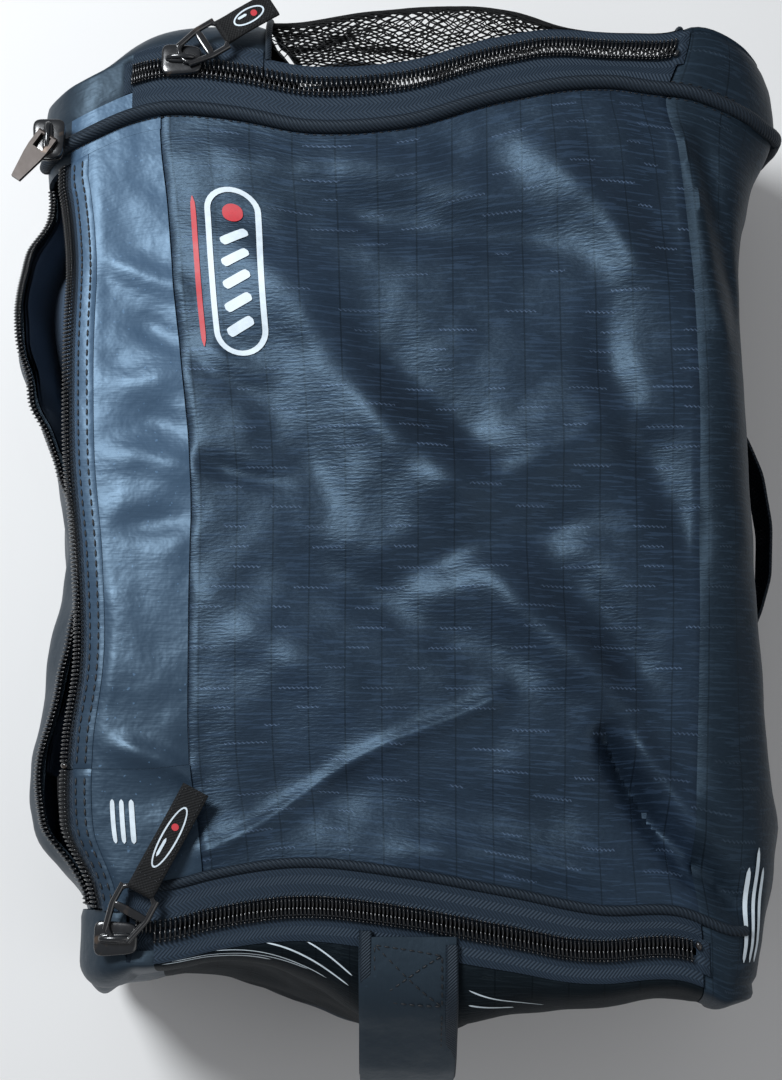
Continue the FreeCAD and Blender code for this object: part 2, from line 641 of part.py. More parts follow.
def webbing(name, corners, across):
    """A strap of webbing along a flat path: its outer face follows the corners."""
    path = rounded_path(corners, value("Sizes.handle_bend"))
    thick = value("Sizes.webbing_thick")
    inner = path.makeOffset2D(-thick, 0, False, True)
    ends = [
        Part.LineSegment(path.OrderedVertexes[0].Point, inner.OrderedVertexes[0].Point).toShape(),
        Part.LineSegment(path.OrderedVertexes[-1].Point, inner.OrderedVertexes[-1].Point).toShape(),
    ]
    outline = Part.Wire(Part.__sortEdges__(path.Edges + inner.Edges + ends))
    strap = doc.addObject("Part::Feature", "Strap_" + name)
    strap.Shape = Part.Face(outline).extrude(across)
    return as_node(strap, name)


def end_handle():
    """The end handle: sewn over the flap's rounded top and again above its fold line."""
    lift = value(f"Sizes.webbing_thick + {SEAT}")
    face = value(PRINT_END) - lift
    out = value(f"{PRINT_END} - Sizes.end_reach")
    bend = value(ROUND) + lift
    centre_y, centre_z = value(f"{PRINT_END} + {ROUND}"), value(f"{TOP} - {ROUND}")
    x = value("Sizes.end_offset - Sizes.webbing_width / 2")

    def on_round(degrees):
        """Where a tangent polygon round the flap's top meets, at an angle from upright."""
        angle = math.radians(degrees)
        reach = bend / math.cos(math.radians(HUG_STEP / 2))
        return V(x, centre_y - reach * math.sin(angle), centre_z + reach * math.cos(angle))

    foot = value(f"{FOLD} + Sizes.end_drop")
    slope_start = on_round(HUG_TO - HUG_STEP / 2)
    down = slope_start.z - (slope_start.y - out)
    low = value(f"{FOLD} + Sizes.end_drop + Sizes.end_foot")
    corners = [
        on_round(HUG_FROM),
        on_round(HUG_FROM + HUG_STEP),
        slope_start,
        V(x, out, down),
        V(x, out, (down + low) / 2),
        V(x, face, low),
        V(x, face, foot),
    ]
    webbing("end_handle", corners, V(value("Sizes.webbing_width"), 0, 0))


def side_handle():
    """The side handle: two sewn feet on the right gusset and an arch between them."""
    z = value("Sizes.side_height - Sizes.side_webbing / 2")
    face = value(f"{RIGHT} + Sizes.webbing_thick + {SEAT}")
    out = value(f"{RIGHT} + Sizes.side_reach")
    middle = value("Sizes.side_offset")
    span = value("Sizes.side_span") / 2
    foot = span + value("Sizes.side_foot")
    inner = span / 2
    offsets = [(face, -foot), (face, -span), (out, -inner), (out, inner), (face, span), (face, foot)]
    corners = [V(x, middle + along, z) for x, along in offsets]
    webbing("side_handle", corners, V(0, 0, value("Sizes.side_webbing")))


# ---------------------------------------------------------------- assembly


def build():
    shell_panels()
    flat_panels()
    inner_walls()
    top_piping()
    bottom_welt()
    end_zip("zip1", MESH_ZIP, 1, MESH_SLIDER, MESH_FLAP_X)
    end_zip("zip2", PRINT_ZIP, -1, PRINT_SLIDER, PRINT_FLAP_X)
    outer_start = f"{MESH_SLIDER} - {SLIDER} / 2"
    zip_half("zip1_outer", MESH_ZIP, 1, outer_start, MESH_FLAP_X, MESH_FLAP_X)
    pocket_zip()
    pocket_lip()
    slider("zip1_slider", MESH_SLIDER, MESH_ZIP, 0, MESH_PULL)
    slider("zip2_slider", PRINT_SLIDER, PRINT_ZIP, 0, PRINT_PULL)
    slider("zip3_slider", POCKET_ZIP, POCKET_SLIDER, 90, LEAF_PULL)
    loop_pull("zip1_pull", MESH_SLIDER, MESH_ZIP, MESH_PULL)
    loop_pull("zip2_pull", PRINT_SLIDER, PRINT_ZIP, PRINT_PULL)
    leaf_pull("zip3_pull", POCKET_ZIP, POCKET_SLIDER, LEAF_PULL)
    webbing_tab("zip1_tab", MESH_SLIDER, MESH_ZIP, MESH_PULL, "Sizes.mesh_tab_length")
    webbing_tab("zip2_tab", PRINT_SLIDER, PRINT_ZIP, PRINT_PULL, "Sizes.print_tab_length")
    end_handle()
    side_handle()
    doc.recompute()


def check():
    """Stop if any object failed or any sub-part has no valid shape."""
    for obj in doc.Objects:
        if "Invalid" in obj.State or "Error" in obj.State:
            raise RuntimeError(f"{obj.Label} failed: {obj.State}")
    for obj in nodes:
        if obj.Shape.isNull() or not obj.Shape.isValid() or not obj.Shape.Solids:
            raise RuntimeError(f"{obj.Label} has no valid solid")


def export():
    os.makedirs("parts", exist_ok=True)
    for obj in nodes:
        obj.Shape.exportStep(os.path.join("parts", obj.Label + ".step"))


build()
check()
export()
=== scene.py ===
import json
import math
import random

import bpy
import numpy as np
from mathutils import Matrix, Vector, noise


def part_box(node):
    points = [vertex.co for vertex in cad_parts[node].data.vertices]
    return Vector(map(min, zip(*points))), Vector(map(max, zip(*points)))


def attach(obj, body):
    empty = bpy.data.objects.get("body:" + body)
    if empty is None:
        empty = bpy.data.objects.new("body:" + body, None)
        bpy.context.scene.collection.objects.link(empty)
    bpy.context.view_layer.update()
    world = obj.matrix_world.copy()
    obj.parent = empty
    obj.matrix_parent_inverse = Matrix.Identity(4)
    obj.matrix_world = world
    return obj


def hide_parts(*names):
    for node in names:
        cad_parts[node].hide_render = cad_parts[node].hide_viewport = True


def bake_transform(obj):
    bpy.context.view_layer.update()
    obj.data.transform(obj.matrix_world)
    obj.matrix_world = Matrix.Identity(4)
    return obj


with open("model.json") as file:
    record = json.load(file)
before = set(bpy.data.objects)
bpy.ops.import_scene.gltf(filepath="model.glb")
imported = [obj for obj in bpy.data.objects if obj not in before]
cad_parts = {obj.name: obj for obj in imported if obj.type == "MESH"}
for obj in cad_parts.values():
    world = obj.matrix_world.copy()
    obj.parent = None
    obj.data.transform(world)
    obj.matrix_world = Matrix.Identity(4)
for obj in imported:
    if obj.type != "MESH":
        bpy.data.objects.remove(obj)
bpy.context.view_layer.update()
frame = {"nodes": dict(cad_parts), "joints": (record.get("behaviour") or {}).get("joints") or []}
rng = random.Random(11)


# ---------------------------------------------------------------- measures taken from the frame

def low(node):
    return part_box(node)[0]


def high(node):
    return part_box(node)[1]


def middle(node):
    return (low(node) + high(node)) / 2


LEFT, RIGHT = low("left_gusset").x, high("right_gusset").x
PRINT_END, MESH_END = low("print_flap").y, high("mesh_flap").y
TOP = high("coated_strip").z
ROUND = low("back_panel").x - LEFT
SEAM, RIGHT_SEAM = low("pocket_wall").x, low("right_gusset").x
PANEL_PRINT, PANEL_MESH = low("pocket_wall").y, high("pocket_wall").y
PRINT_FLAP, MESH_FLAP = high("print_flap").y, low("mesh_flap").y
PRINT_FLAP_X, MESH_FLAP_X = low("print_flap").x, low("mesh_flap").x
FLAP_RIGHT = high("print_flap").x
FOLD = low("print_flap").z
STRIP_LOW, STRIP_HIGH = low("coated_strip").y, high("coated_strip").y
STRIP_EDGE = low("coated_strip").x
LIP = high("left_gusset").z
ZIP1_Y, ZIP2_Y, ZIP3_X = middle("zip1_slider").y, middle("zip2_slider").y, middle("zip3_slider").x
CORE_LOW = np.array([LEFT + ROUND, PRINT_END + ROUND, ROUND])
CORE_HIGH = np.array([RIGHT - ROUND, MESH_END - ROUND, TOP - ROUND])
JOINTS = {joint["name"]: joint for joint in frame["joints"]}

# ---------------------------------------------------------------- the slack form


def ramp(t):
    t = np.clip(t, 0, 1)
    return t * t * (3 - 2 * t)


def hat(t, start, top, end):
    return ramp((t - start) / (top - start)) * ramp((end - t) / (end - top))


def curve(*points):
    """A smooth curve through a few points."""
    xs, ys = np.array(points, float).T
    slopes = np.gradient(ys, xs)
    slopes[0] = slopes[-1] = 0

    def at(x):
        x = np.clip(x, xs[0], xs[-1])
        i = np.clip(np.searchsorted(xs, x) - 1, 0, len(xs) - 2)
        h = xs[i + 1] - xs[i]
        t = (x - xs[i]) / h
        return (
            (1 + 2 * t) * (1 - t) ** 2 * ys[i]
            + t * (1 - t) ** 2 * h * slopes[i]
            + t * t * (3 - 2 * t) * ys[i + 1]
            + t * t * (t - 1) * h * slopes[i + 1]
        )

    return at


# How far the slack cloth has moved from its plain form, in metres. A tuck is the share by which
# cloth beyond its line is drawn in.
PRINT_TUCK_Y, MESH_TUCK_Y, MOST_TUCK = -0.222, 0.252, 0.84
CORNER_PUSH, WIDE_RIPPLE, FINE_RIPPLE = 0.029, 0.0036, 0.0011
mesh_wave = curve((-0.19, -0.026), (-0.172, -0.021), (-0.148, -0.013), (-0.123, -0.007), (-0.1, -0.003),
                  (-0.069, -0.006), (-0.04, -0.013), (0, -0.011), (0.049, 0.003), (0.1, 0.011), (0.12, 0.011),
                  (0.14, 0.0085), (0.158, 0.006), (0.18, -0.004), (0.19, -0.008))
mesh_rise = curve((0.07, 0), (0.12, -0.0045), (0.14, -0.002), (0.158, 0.004), (0.19, 0.008))
mesh_tuck = curve((-0.19, 0.95), (-0.156, 0.85), (-0.13, 0.55), (-0.083, 0.2), (-0.05, 0), (0.03, 0.03),
                  (0.06, 0.25), (0.09, 0.75), (0.107, 0.9), (0.19, 0.95))
print_wave = curve((-0.19, 0.004), (-0.14, 0.003), (-0.125, 0.003), (-0.1, 0.009), (-0.06, 0.0145), (0, 0.010),
                   (0.05, 0.001), (0.1, -0.008), (0.139, -0.0085), (0.17, -0.018))
print_rise = curve((0.07, 0), (0.12, 0.0035), (0.15, 0.004))
print_tuck = curve((-0.19, 0.4), (-0.15, 0.78), (-0.09, 0.74), (-0.05, 0.35), (-0.01, -0.1),
                   (0.03, 0.05), (0.06, 0.4), (0.15, 0.75), (0.19, 0.85))
seam_wave = curve((-0.19, 0.009), (-0.13, 0.002), (-0.05, 0), (0.03, -0.001), (0.06, -0.004),
                  (0.11, -0.01), (0.165, -0.015), (0.215, -0.02))
right_wave = curve((-0.2, -0.004), (-0.16, -0.007), (-0.12, -0.004), (-0.03, 0), (0.14, 0), (0.19, -0.005),
                   (0.218, -0.01), (0.236, -0.003), (0.25, 0))
edge_wave = curve((-0.2, 0.022), (-0.16, 0.012), (-0.112, 0.011), (-0.077, 0.015), (-0.02, 0.0125),
                  (0.03, 0.007), (0.08, 0.005), (0.15, 0.005), (0.185, 0.002), (0.2, 0))
lip_bow = curve((-0.195, 0), (-0.135, 0.009), (-0.085, 0), (0.035, 0), (0.07, 0.013),
                (0.118, 0.022), (0.165, 0.013), (0.2, 0))
right_bow = curve((-0.285, -0.03), (-0.24, -0.024), (-0.2, -0.013), (-0.155, -0.002), (-0.1, -0.003),
                  (-0.03, -0.008), (0.1, -0.012), (0.15, -0.011), (0.19, -0.001), (0.228, 0.013), (0.255, 0.004),
                  (0.285, -0.01))

# Folds of the front: two ends, half width, height, and whether it is sharp like a crease.
CROWN, SOFT_FOLD_GAIN = 0.0015, 1.5
FOLDS = [
    ((-0.098, -0.166), (0.05, -0.087), 0.0038, 0.0062, True),
    ((0.1, -0.112), (0.128, -0.152), 0.0065, -0.015, True),
    ((0.128, -0.152), (0.165, -0.2), 0.007, -0.014, True),
    ((0.098, -0.108), (0.122, -0.146), 0.0028, -0.009, True),
    ((0.122, -0.146), (0.142, -0.184), 0.0026, -0.007, True),
    ((0.115, -0.105), (0.15, -0.165), 0.007, 0.004, False),
    ((0.045, -0.026), (0.104, -0.094), 0.013, 0.0055, False),
    ((0.072, -0.02), (0.128, -0.088), 0.012, -0.004, False),
    ((-0.074, 0.136), (0.024, 0.014), 0.018, 0.0055, False),
    ((-0.09, 0.09), (-0.03, 0.0), 0.016, -0.003, False),
    ((-0.02, 0.1), (0.05, 0.02), 0.016, -0.004, False),
    ((0.018, 0.01), (0.132, 0.06), 0.015, 0.0045, False),
    ((0.0, -0.03), (0.09, 0.0), 0.012, -0.004, False),
    ((0.069, 0.197), (0.137, 0.119), 0.014, 0.0045, False),
    ((-0.05, -0.02), (0.05, -0.07), 0.014, -0.0035, False),
    ((-0.1, 0.19), (0.06, 0.17), 0.018, 0.003, False),
    ((-0.04, 0.165), (0.09, 0.14), 0.014, -0.004, False),
    ((0.1, 0.1), (0.145, -0.02), 0.012, -0.0035, False),
    ((-0.09, -0.04), (-0.02, -0.1), 0.016, 0.0035, False),
    ((-0.06, -0.14), (0.08, -0.15), 0.018, -0.003, False),
    ((0.0, -0.17), (0.1, -0.175), 0.01, 0.003, False),
    # short puckers that run from the left seam
    ((-0.109, 0.09), (-0.14, 0.102), 0.008, -0.0018, False),
    ((-0.109, 0.072), (-0.15, 0.066), 0.008, 0.0014, False),
    ((-0.106, 0.045), (-0.135, 0.05), 0.008, -0.0018, False),
    ((-0.104, 0.024), (-0.15, 0.03), 0.008, 0.0018, False),
    ((-0.104, -0.002), (-0.14, -0.008), 0.007, -0.0018, False),
    ((-0.106, -0.126), (-0.14, -0.118), 0.006, 0.003, False),
    ((-0.112, 0.12), (-0.15, 0.13), 0.008, 0.0025, False),
    ((-0.1, 0.03), (-0.06, 0.02), 0.006, -0.0025, False),
    ((-0.1, 0.09), (-0.07, 0.075), 0.006, 0.002, False),
    # the gusset's raised fold beside the right seam
    ((0.144, 0.205), (0.17, 0.09), 0.0055, 0.0045, True),
    ((0.155, 0.2), (0.182, 0.1), 0.006, -0.003, False),
]


def ripple(points, size, seed):
    """Smooth noise at points, as wide as size."""
    shift = Vector((seed * 7.3, seed * 3.1, seed * 5.7))
    return np.array([noise.noise(Vector(p) / size + shift) for p in points])


def relief(x, y):
    """Height of the front's folds."""
    h = CROWN * hat(x, -0.11, 0.03, 0.16) * hat(y, -0.2, 0.02, 0.24)
    for a, b, width, height, sharp in FOLDS:
        ax, ay = a
        dx, dy = b[0] - ax, b[1] - ay
        length = math.hypot(dx, dy)
        along = ((x - ax) * dx + (y - ay) * dy) / length
        off = ((x - ax) * dy - (y - ay) * dx) / length
        taper = ramp((along + width * 2) / (width * 4)) * ramp((length - along + width * 2) / (width * 4))
        wander = off + 0.003 * np.sin(along * 45 + ax * 90)
        if sharp:
            across = np.exp(-np.sqrt(wander**2 + 2e-6) / width)
        else:
            across = np.exp(-((wander / width) ** 2))
        h = h + (1.0 if sharp else SOFT_FOLD_GAIN) * height * across * taper
    return h


def slump(points, calm=False):
    """Where the slack bag has points of the plain form."""
    p = np.array(points, float).reshape(-1, 3)
    x, y, z = p.T
    q = p.copy()
    top = ramp((z - 0.03) / 0.12)
    q[:, 1] += mesh_wave(x) * ramp((y - 0.1) / 0.11) * top
    q[:, 1] += mesh_rise(x) * ramp((y - 0.222) / 0.018) * top
    q[:, 1] += print_wave(x) * ramp((-y - 0.08) / 0.1) * top
    q[:, 1] += print_rise(x) * ramp((-y - 0.19) / 0.015) * top
    q[:, 1] += print_tuck(x) * np.maximum(PRINT_TUCK_Y - y, 0) * (0.75 + 0.25 * top)
    q[:, 1] -= np.minimum(mesh_tuck(x), MOST_TUCK) * np.maximum(y - MESH_TUCK_Y, 0) * (0.75 + 0.25 * top)
    corner = ramp((-y - 0.155) / 0.05) * ramp((-x - 0.138) / 0.05)
    q[:, 0] += CORNER_PUSH * corner * (0.7 + 0.3 * top)
    q[:, 0] += seam_wave(y) * hat(x, -0.168, SEAM, 0.02) * top
    q[:, 0] += right_wave(y) * hat(x, 0.05, RIGHT_SEAM, 0.2) * top
    q[:, 0] += edge_wave(y) * ramp((-0.125 - x) / 0.04) * ramp((z - 0.1) / 0.03) * (1 - corner)
    outer = ramp((-x - 0.168) / 0.016)
    q[:, 0] -= lip_bow(y) * outer * ramp((z - 0.03) / 0.09) * (1 - ramp((z - 0.14) / 0.014))
    q[:, 0] += right_bow(y) * ramp((x - 0.15) / 0.035) * ramp(z / 0.11) * (1 - 0.4 * ramp((z - 0.13) / 0.03))
    soft = ramp((y - ZIP2_Y - 0.012) / 0.03) * ramp((ZIP1_Y - 0.014 - y) / 0.03) * ramp((x - ZIP3_X - 0.01) / 0.02)
    soft = soft * ramp((z - 0.15) / 0.014)
    q[:, 2] += soft * relief(q[:, 0], q[:, 1])
    if not calm:
        wide = WIDE_RIPPLE * ripple(q, 0.062, 1) + FINE_RIPPLE * ripple(q, 0.02, 2)
        out = p - np.clip(p, CORE_LOW, CORE_HIGH)
        size = np.maximum(np.linalg.norm(out, axis=1), 1e-6)
        still = ramp((z - 0.004) / 0.012)
        side = 1 - ramp((z - 0.13) / 0.03)
        amount = wide * still * (soft + 1.8 * side)
        q += out / size[:, None] * amount[:, None]
    return q


def sharp(face, a, b):
    """Points of the plain block before its edges are rounded."""
    a, b = np.asarray(a, float), np.asarray(b, float)
    one = np.ones_like(a)
    return np.stack({
        "top": (a, b, TOP * one),
        "bottom": (a, b, 0 * one),
        "left": (LEFT * one, a, b),
        "right": (RIGHT * one, a, b),
        "print": (a, PRINT_END * one, b),
        "mesh": (a, MESH_END * one, b),
    }[face], axis=-1)


def skin(points, lift=0.0):
    """Rounds points of the plain block and lifts them off it."""
    p = np.asarray(points, float).reshape(-1, 3)
    core = np.clip(p, CORE_LOW, CORE_HIGH)
    out = p - core
    size = np.maximum(np.linalg.norm(out, axis=1), 1e-9)[:, None]
    lift = np.broadcast_to(np.asarray(lift, float), (len(p),))[:, None]
    return core + out / size * (ROUND + lift)


def unrolled(face, a, b):
    """Cloth coordinates that run on over the edges."""
    a, b = np.asarray(a, float), np.asarray(b, float)
    return {
        "top": (a, b),
        "bottom": (a, b),
        "left": (LEFT - (TOP - b), a),
        "right": (RIGHT + TOP - b, a),
        "print": (a, PRINT_END - (TOP - b)),
        "mesh": (a, MESH_END + TOP - b),
    }[face]


# ---------------------------------------------------------------- making pieces

def mesh_object(name, vertices, faces, materials, uvs=None, smooth=40, picks=None):
    data = bpy.data.meshes.new(name)
    data.from_pydata([tuple(v) for v in vertices], [], [tuple(f) for f in faces])
    if uvs is not None:
        layer = data.uv_layers.new(name="cloth")
        corners = np.zeros(len(data.loops), int)
        data.loops.foreach_get("vertex_index", corners)
        layer.data.foreach_set("uv", np.asarray(uvs, float)[corners].ravel())
    for item in materials if isinstance(materials, (list, tuple)) else [materials]:
        data.materials.append(item)
    if picks is not None:
        data.polygons.foreach_set("material_index", picks)
    data.update()
    data.shade_smooth()
    if smooth < 180:
        data.set_sharp_from_angle(angle=math.radians(smooth))
    obj = bpy.data.objects.new(name, data)
    bpy.context.scene.collection.objects.link(obj)
    return obj


def fit(obj, body, slot, *nodes):
    """Says what the piece rides on and hides the CAD nodes it stands for; the slot argument, its finish, is not used.
    """
    if isinstance(body, tuple):
        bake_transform(obj)
    else:
        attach(obj, body)
    if nodes:
        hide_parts(*nodes)
    return obj


def cells(a, b, step):
    return np.linspace(a, b, max(1, round(abs(b - a) / step)) + 1)


def quads_of(at):
    """Quads between the points numbered in a grid."""
    return np.stack([at[:-1, :-1], at[1:, :-1], at[1:, 1:], at[:-1, 1:]], axis=-1).reshape(-1, 4)


def sheet_faces(rows, columns, flip=False, rim=True):
    """Faces of a two-sided sheet: the front's points row by row, then the back's."""
    at = np.arange(rows * columns).reshape(rows, columns)
    quads = quads_of(at)[:, [0, 3, 2, 1] if flip else [0, 1, 2, 3]]
    faces = quads.tolist() + (quads[:, ::-1] + at.size).tolist()
    if rim:
        loop = np.concatenate([at[0], at[1:, -1], at[-1, ::-1][1:], at[::-1, 0][1:-1]])
        after = np.roll(loop, -1)
        first, second = (after, loop) if flip else (loop, after)
        faces += np.stack([first, second, second + at.size, first + at.size], axis=-1).tolist()
    return faces


def flat_uvs(a, b):
    """Cloth coordinates for both sides of a sheet."""
    return np.vstack([np.stack([a, b], axis=-1).reshape(-1, 2)] * 2)


def distance(points):
    """How far along a line each of its points is."""
    return np.concatenate([[0], np.cumsum(np.linalg.norm(np.diff(points, axis=0), axis=1))])


def cloth(name, patches, materials, thick=0.003, step=0.004, lift=0.0, tuck=0.0012, keep=None):
    """A sewn panel made of patches of the plain block's faces: (face, (a0, a1), (b0, b1))."""
    spots, uvs, quads, seen = [], [], [], {}
    for face, (a0, a1), (b0, b1) in patches:
        a, b = np.meshgrid(cells(a0, a1, step), cells(b0, b1, step), indexing="ij")
        points = sharp(face, a, b).reshape(-1, 3)
        u, v = unrolled(face, a, b)
        index = []
        for point, uu, vv in zip(points, u.ravel(), v.ravel()):
            key = tuple(np.round(point, 5))
            if key not in seen:
                seen[key] = len(spots)
                spots.append(point)
                uvs.append((uu, vv))
            index.append(seen[key])
        index = np.array(index).reshape(a.shape)
        quads += list(quads_of(index))
    spots, uvs = np.array(spots), np.array(uvs)
    if keep is not None:
        good = keep(spots)
        quads = [q for q in quads if good[q].all()]
        used = sorted(set(int(i) for q in quads for i in q))
        where = {old: new for new, old in enumerate(used)}
        quads = [[where[int(i)] for i in q] for q in quads]
        spots, uvs = spots[used], uvs[used]
    counts = {}
    for q in quads:
        for i in range(4):
            edge = frozenset((int(q[i]), int(q[(i + 1) % 4])))
            counts[edge] = counts.get(edge, 0) + 1
    rim = [edge for edge, count in counts.items() if count == 1]
    lifts = np.full(len(spots), lift)
    for edge in rim:
        for i in edge:
            lifts[i] = lift - tuck
    outer = slump(skin(spots, lifts))
    inner = slump(skin(spots, lift - thick))
    core = np.clip(spots, CORE_LOW, CORE_HIGH)
    faces = []
    for q in quads:
        a, b, c = outer[q[0]], outer[q[1]], outer[q[2]]
        if np.dot(np.cross(b - a, c - b), (spots[q[0]] - core[q[0]])) < 0:
            q = q[::-1]
        faces.append([int(i) for i in q])
    count = len(spots)
    edges = set()
    for q in faces:
        for i in range(4):
            edges.add((q[i], q[(i + 1) % 4]))
    walls = [(b, a, a + count, b + count) for a, b in edges if (b, a) not in edges]
    inside = [[i + count for i in reversed(q)] for q in faces]
    picks = [0] * len(faces) + [1] * len(inside) + [0] * len(walls)
    materials = materials if isinstance(materials, (list, tuple)) else [materials, materials]
    return mesh_object(name, np.vstack([outer, inner]), faces + inside + walls, materials,
                       np.vstack([uvs, uvs]), smooth=50, picks=picks)


def ball(rows=4, around=6):
    """A small unit ball: vertices and faces."""
    vertices, faces = [(0, 0, 1)], []
    for i in range(1, rows):
        for j in range(around):
            a, b = math.pi * i / rows, 2 * math.pi * j / around
            vertices.append((math.sin(a) * math.cos(b), math.sin(a) * math.sin(b), math.cos(a)))
    vertices.append((0, 0, -1))
    last = len(vertices) - 1
    for j in range(around):
        k = (j + 1) % around
        faces.append((0, 1 + j, 1 + k))
        for i in range(rows - 2):
            a = 1 + i * around
            faces.append((a + j, a + around + j, a + around + k, a + k))
        faces.append((last - around + k, last - around + j, last))
    return np.array(vertices), faces


def many(name, centres, along, across, up, size, material, form=None):
    """Many small rounded bits, such as teeth or stitches, as one piece."""
    vertices, faces = form or ball()
    size = np.asarray(size, float)
    if size.ndim == 1:
        size = np.broadcast_to(size, (len(centres), 3))
    body = (
        vertices[None, :, 0, None] * (along * size[:, :1])[:, None, :]
        + vertices[None, :, 1, None] * (across * size[:, 1:2])[:, None, :]
        + vertices[None, :, 2, None] * (up * size[:, 2:])[:, None, :]
        + centres[:, None, :]
    ).reshape(-1, 3)
    count = len(vertices)
    every = [[i + n * count for i in f] for n in range(len(centres)) for f in faces]
    return mesh_object(name, body, every, material, smooth=180)


def unit(v):
    return v / np.maximum(np.linalg.norm(v, axis=-1, keepdims=True), 1e-9)


def frames(place, t, side, lift):
    """Centres and directions of bits along a line; place(t, side, lift) gives points."""
    e = 0.0008
    centre = place(t, side, lift)
    along = unit(place(t + e, side, lift) - place(t - e, side, lift))
    across = unit(place(t, side + e, lift) - place(t, side - e, lift))
    up = unit(np.cross(along, across))
    flip = np.sign((up * (place(t, side, lift + e) - centre)).sum(1, keepdims=True))
    return centre, along, across, up * np.where(flip == 0, 1, flip)


def on_top_x(y0):
    """A line along X on the front, side counted from y0."""
    def place(t, side, lift):
        return slump(skin(sharp("top", t, y0 + side), lift))
    return place


def on_top_y(x0):
    def place(t, side, lift):
        return slump(skin(sharp("top", x0 + side, t), lift))
    return place


PITCH = 0.0021


def teeth(name, place, start, end, sign, material, outer=0.0052, inner=0.0011):
    """One row of coil: bars that reach over the middle of the chain."""
    t = np.arange(start, end, PITCH) + (PITCH / 2 if sign > 0 else 0)
    t = t[t < end]
    middle_side = np.full_like(t, sign * (outer - inner) / 2)
    c, al, ac, up = frames(place, t, middle_side, 0.0022)
    half = (outer + inner) / 2
    return many(name, c, al, ac, up, (0.00078, half, 0.0011), material, ball(5, 8))


def knobs(name, place, start, end, sign, material):
    """The coil's turned-over loops along its outer edge."""
    t = np.arange(start, end, PITCH) + (PITCH / 2 if sign > 0 else 0)
    t = t[t < end]
    c, al, ac, up = frames(place, t, np.full_like(t, sign * 0.0049), 0.0025)
    return many(name, c, al, ac, up, (0.00085, 0.0008, 0.0011), material, ball(4, 6))


def stitches(name, place, start, end, side, material, pitch=0.0045, length=0.0034, lift=0.0003, thick=0.00038):
    t = np.arange(start + pitch / 2, end, pitch)
    c, al, ac, up = frames(place, t, np.full_like(t, side), lift)
    return many(name, c, al, ac, up, (length / 2, thick, thick), material, ball(4, 6))


def tube(name, centres, radius, material, around=14):
    """A round cord along points."""
    c = np.asarray(centres, float)
    t = unit(np.gradient(c, axis=0))
    side = np.cross(t, (0, 0, 1.0))
    flat = np.linalg.norm(side, axis=1) < 0.2
    side[flat] = np.cross(t[flat], (0, 1.0, 0))
    side = unit(side)
    up = unit(np.cross(side, t))
    a = np.linspace(0, 2 * math.pi, around, endpoint=False)
    radius = np.broadcast_to(np.asarray(radius, float), (len(c),))
    ring = (
        c[:, None] + radius[:, None, None] * (
            np.cos(a)[None, :, None] * side[:, None] + np.sin(a)[None, :, None] * up[:, None]
        )
    )
    n = len(c)
    uvs = np.stack(np.broadcast_arrays(distance(c)[:, None], (a * radius.mean())[None, :]), axis=-1).reshape(-1, 2)
    faces = [
        (i * around + j, i * around + k, (i + 1) * around + k, (i + 1) * around + j)
        for i in range(n - 1) for j, k in zip(range(around), [*range(1, around), 0])
    ]
    faces.append(tuple(range(around))[::-1])
    faces.append(tuple((n - 1) * around + j for j in range(around)))
    return mesh_object(name, ring.reshape(-1, 3), faces, material, uvs, smooth=60)


def ribbon(name, path, widths, thick, materials, ups, rib=0.0, columns=24):
    """A strap along a path, with its width direction and its thickness towards ups."""
    c = np.asarray(path, float)
    w = np.broadcast_to(np.asarray(widths, float), c.shape)
    n = unit(np.broadcast_to(np.asarray(ups, float), c.shape))
    s = np.linspace(-1, 1, columns)
    edge = 0.35 + 0.65 * (1 - np.abs(s) ** 6) ** 0.5
    half = thick / 2 * edge * (1 + rib * np.cos(s * math.pi * 10))
    core = c[:, None] + s[None, :, None] / 2 * w[:, None]
    out = half[None, :, None] * n[:, None]
    uvs = flat_uvs(*np.broadcast_arrays(distance(c)[:, None], (s / 2 * np.linalg.norm(w[0]))[None]))
    return mesh_object(name, np.vstack([(core + out).reshape(-1, 3), (core - out).reshape(-1, 3)]),
                       sheet_faces(len(c), columns, flip=True), materials, uvs, smooth=60)


def wall(name, origin, edge_a, edge_b, thick, sag, material, step=0.008):
    """An inner sheet of cloth that hangs a little slack."""
    origin, edge_a, edge_b = (np.array(v, float) for v in (origin, edge_a, edge_b))
    la, lb = np.linalg.norm(edge_a), np.linalg.norm(edge_b)
    a, b = np.meshgrid(cells(0, 1, step / la), cells(0, 1, step / lb), indexing="ij")
    n = unit(np.cross(edge_a, edge_b))
    p = origin + a[..., None] * edge_a + b[..., None] * edge_b
    slack = sag * np.sin(math.pi * a) * np.sin(math.pi * b)
    uneven = ripple(p.reshape(-1, 3), 0.05, 5).reshape(a.shape)
    slack += 0.4 * sag * uneven * np.sin(math.pi * a) ** 0.5 * np.sin(math.pi * b) ** 0.5
    flat = slump(p + slack[..., None] * n, calm=True)
    return mesh_object(name, np.vstack([flat + n * thick / 2, flat - n * thick / 2]),
                       sheet_faces(*a.shape), material, flat_uvs(a * la, b * lb), smooth=50)


# ---------------------------------------------------------------- materials


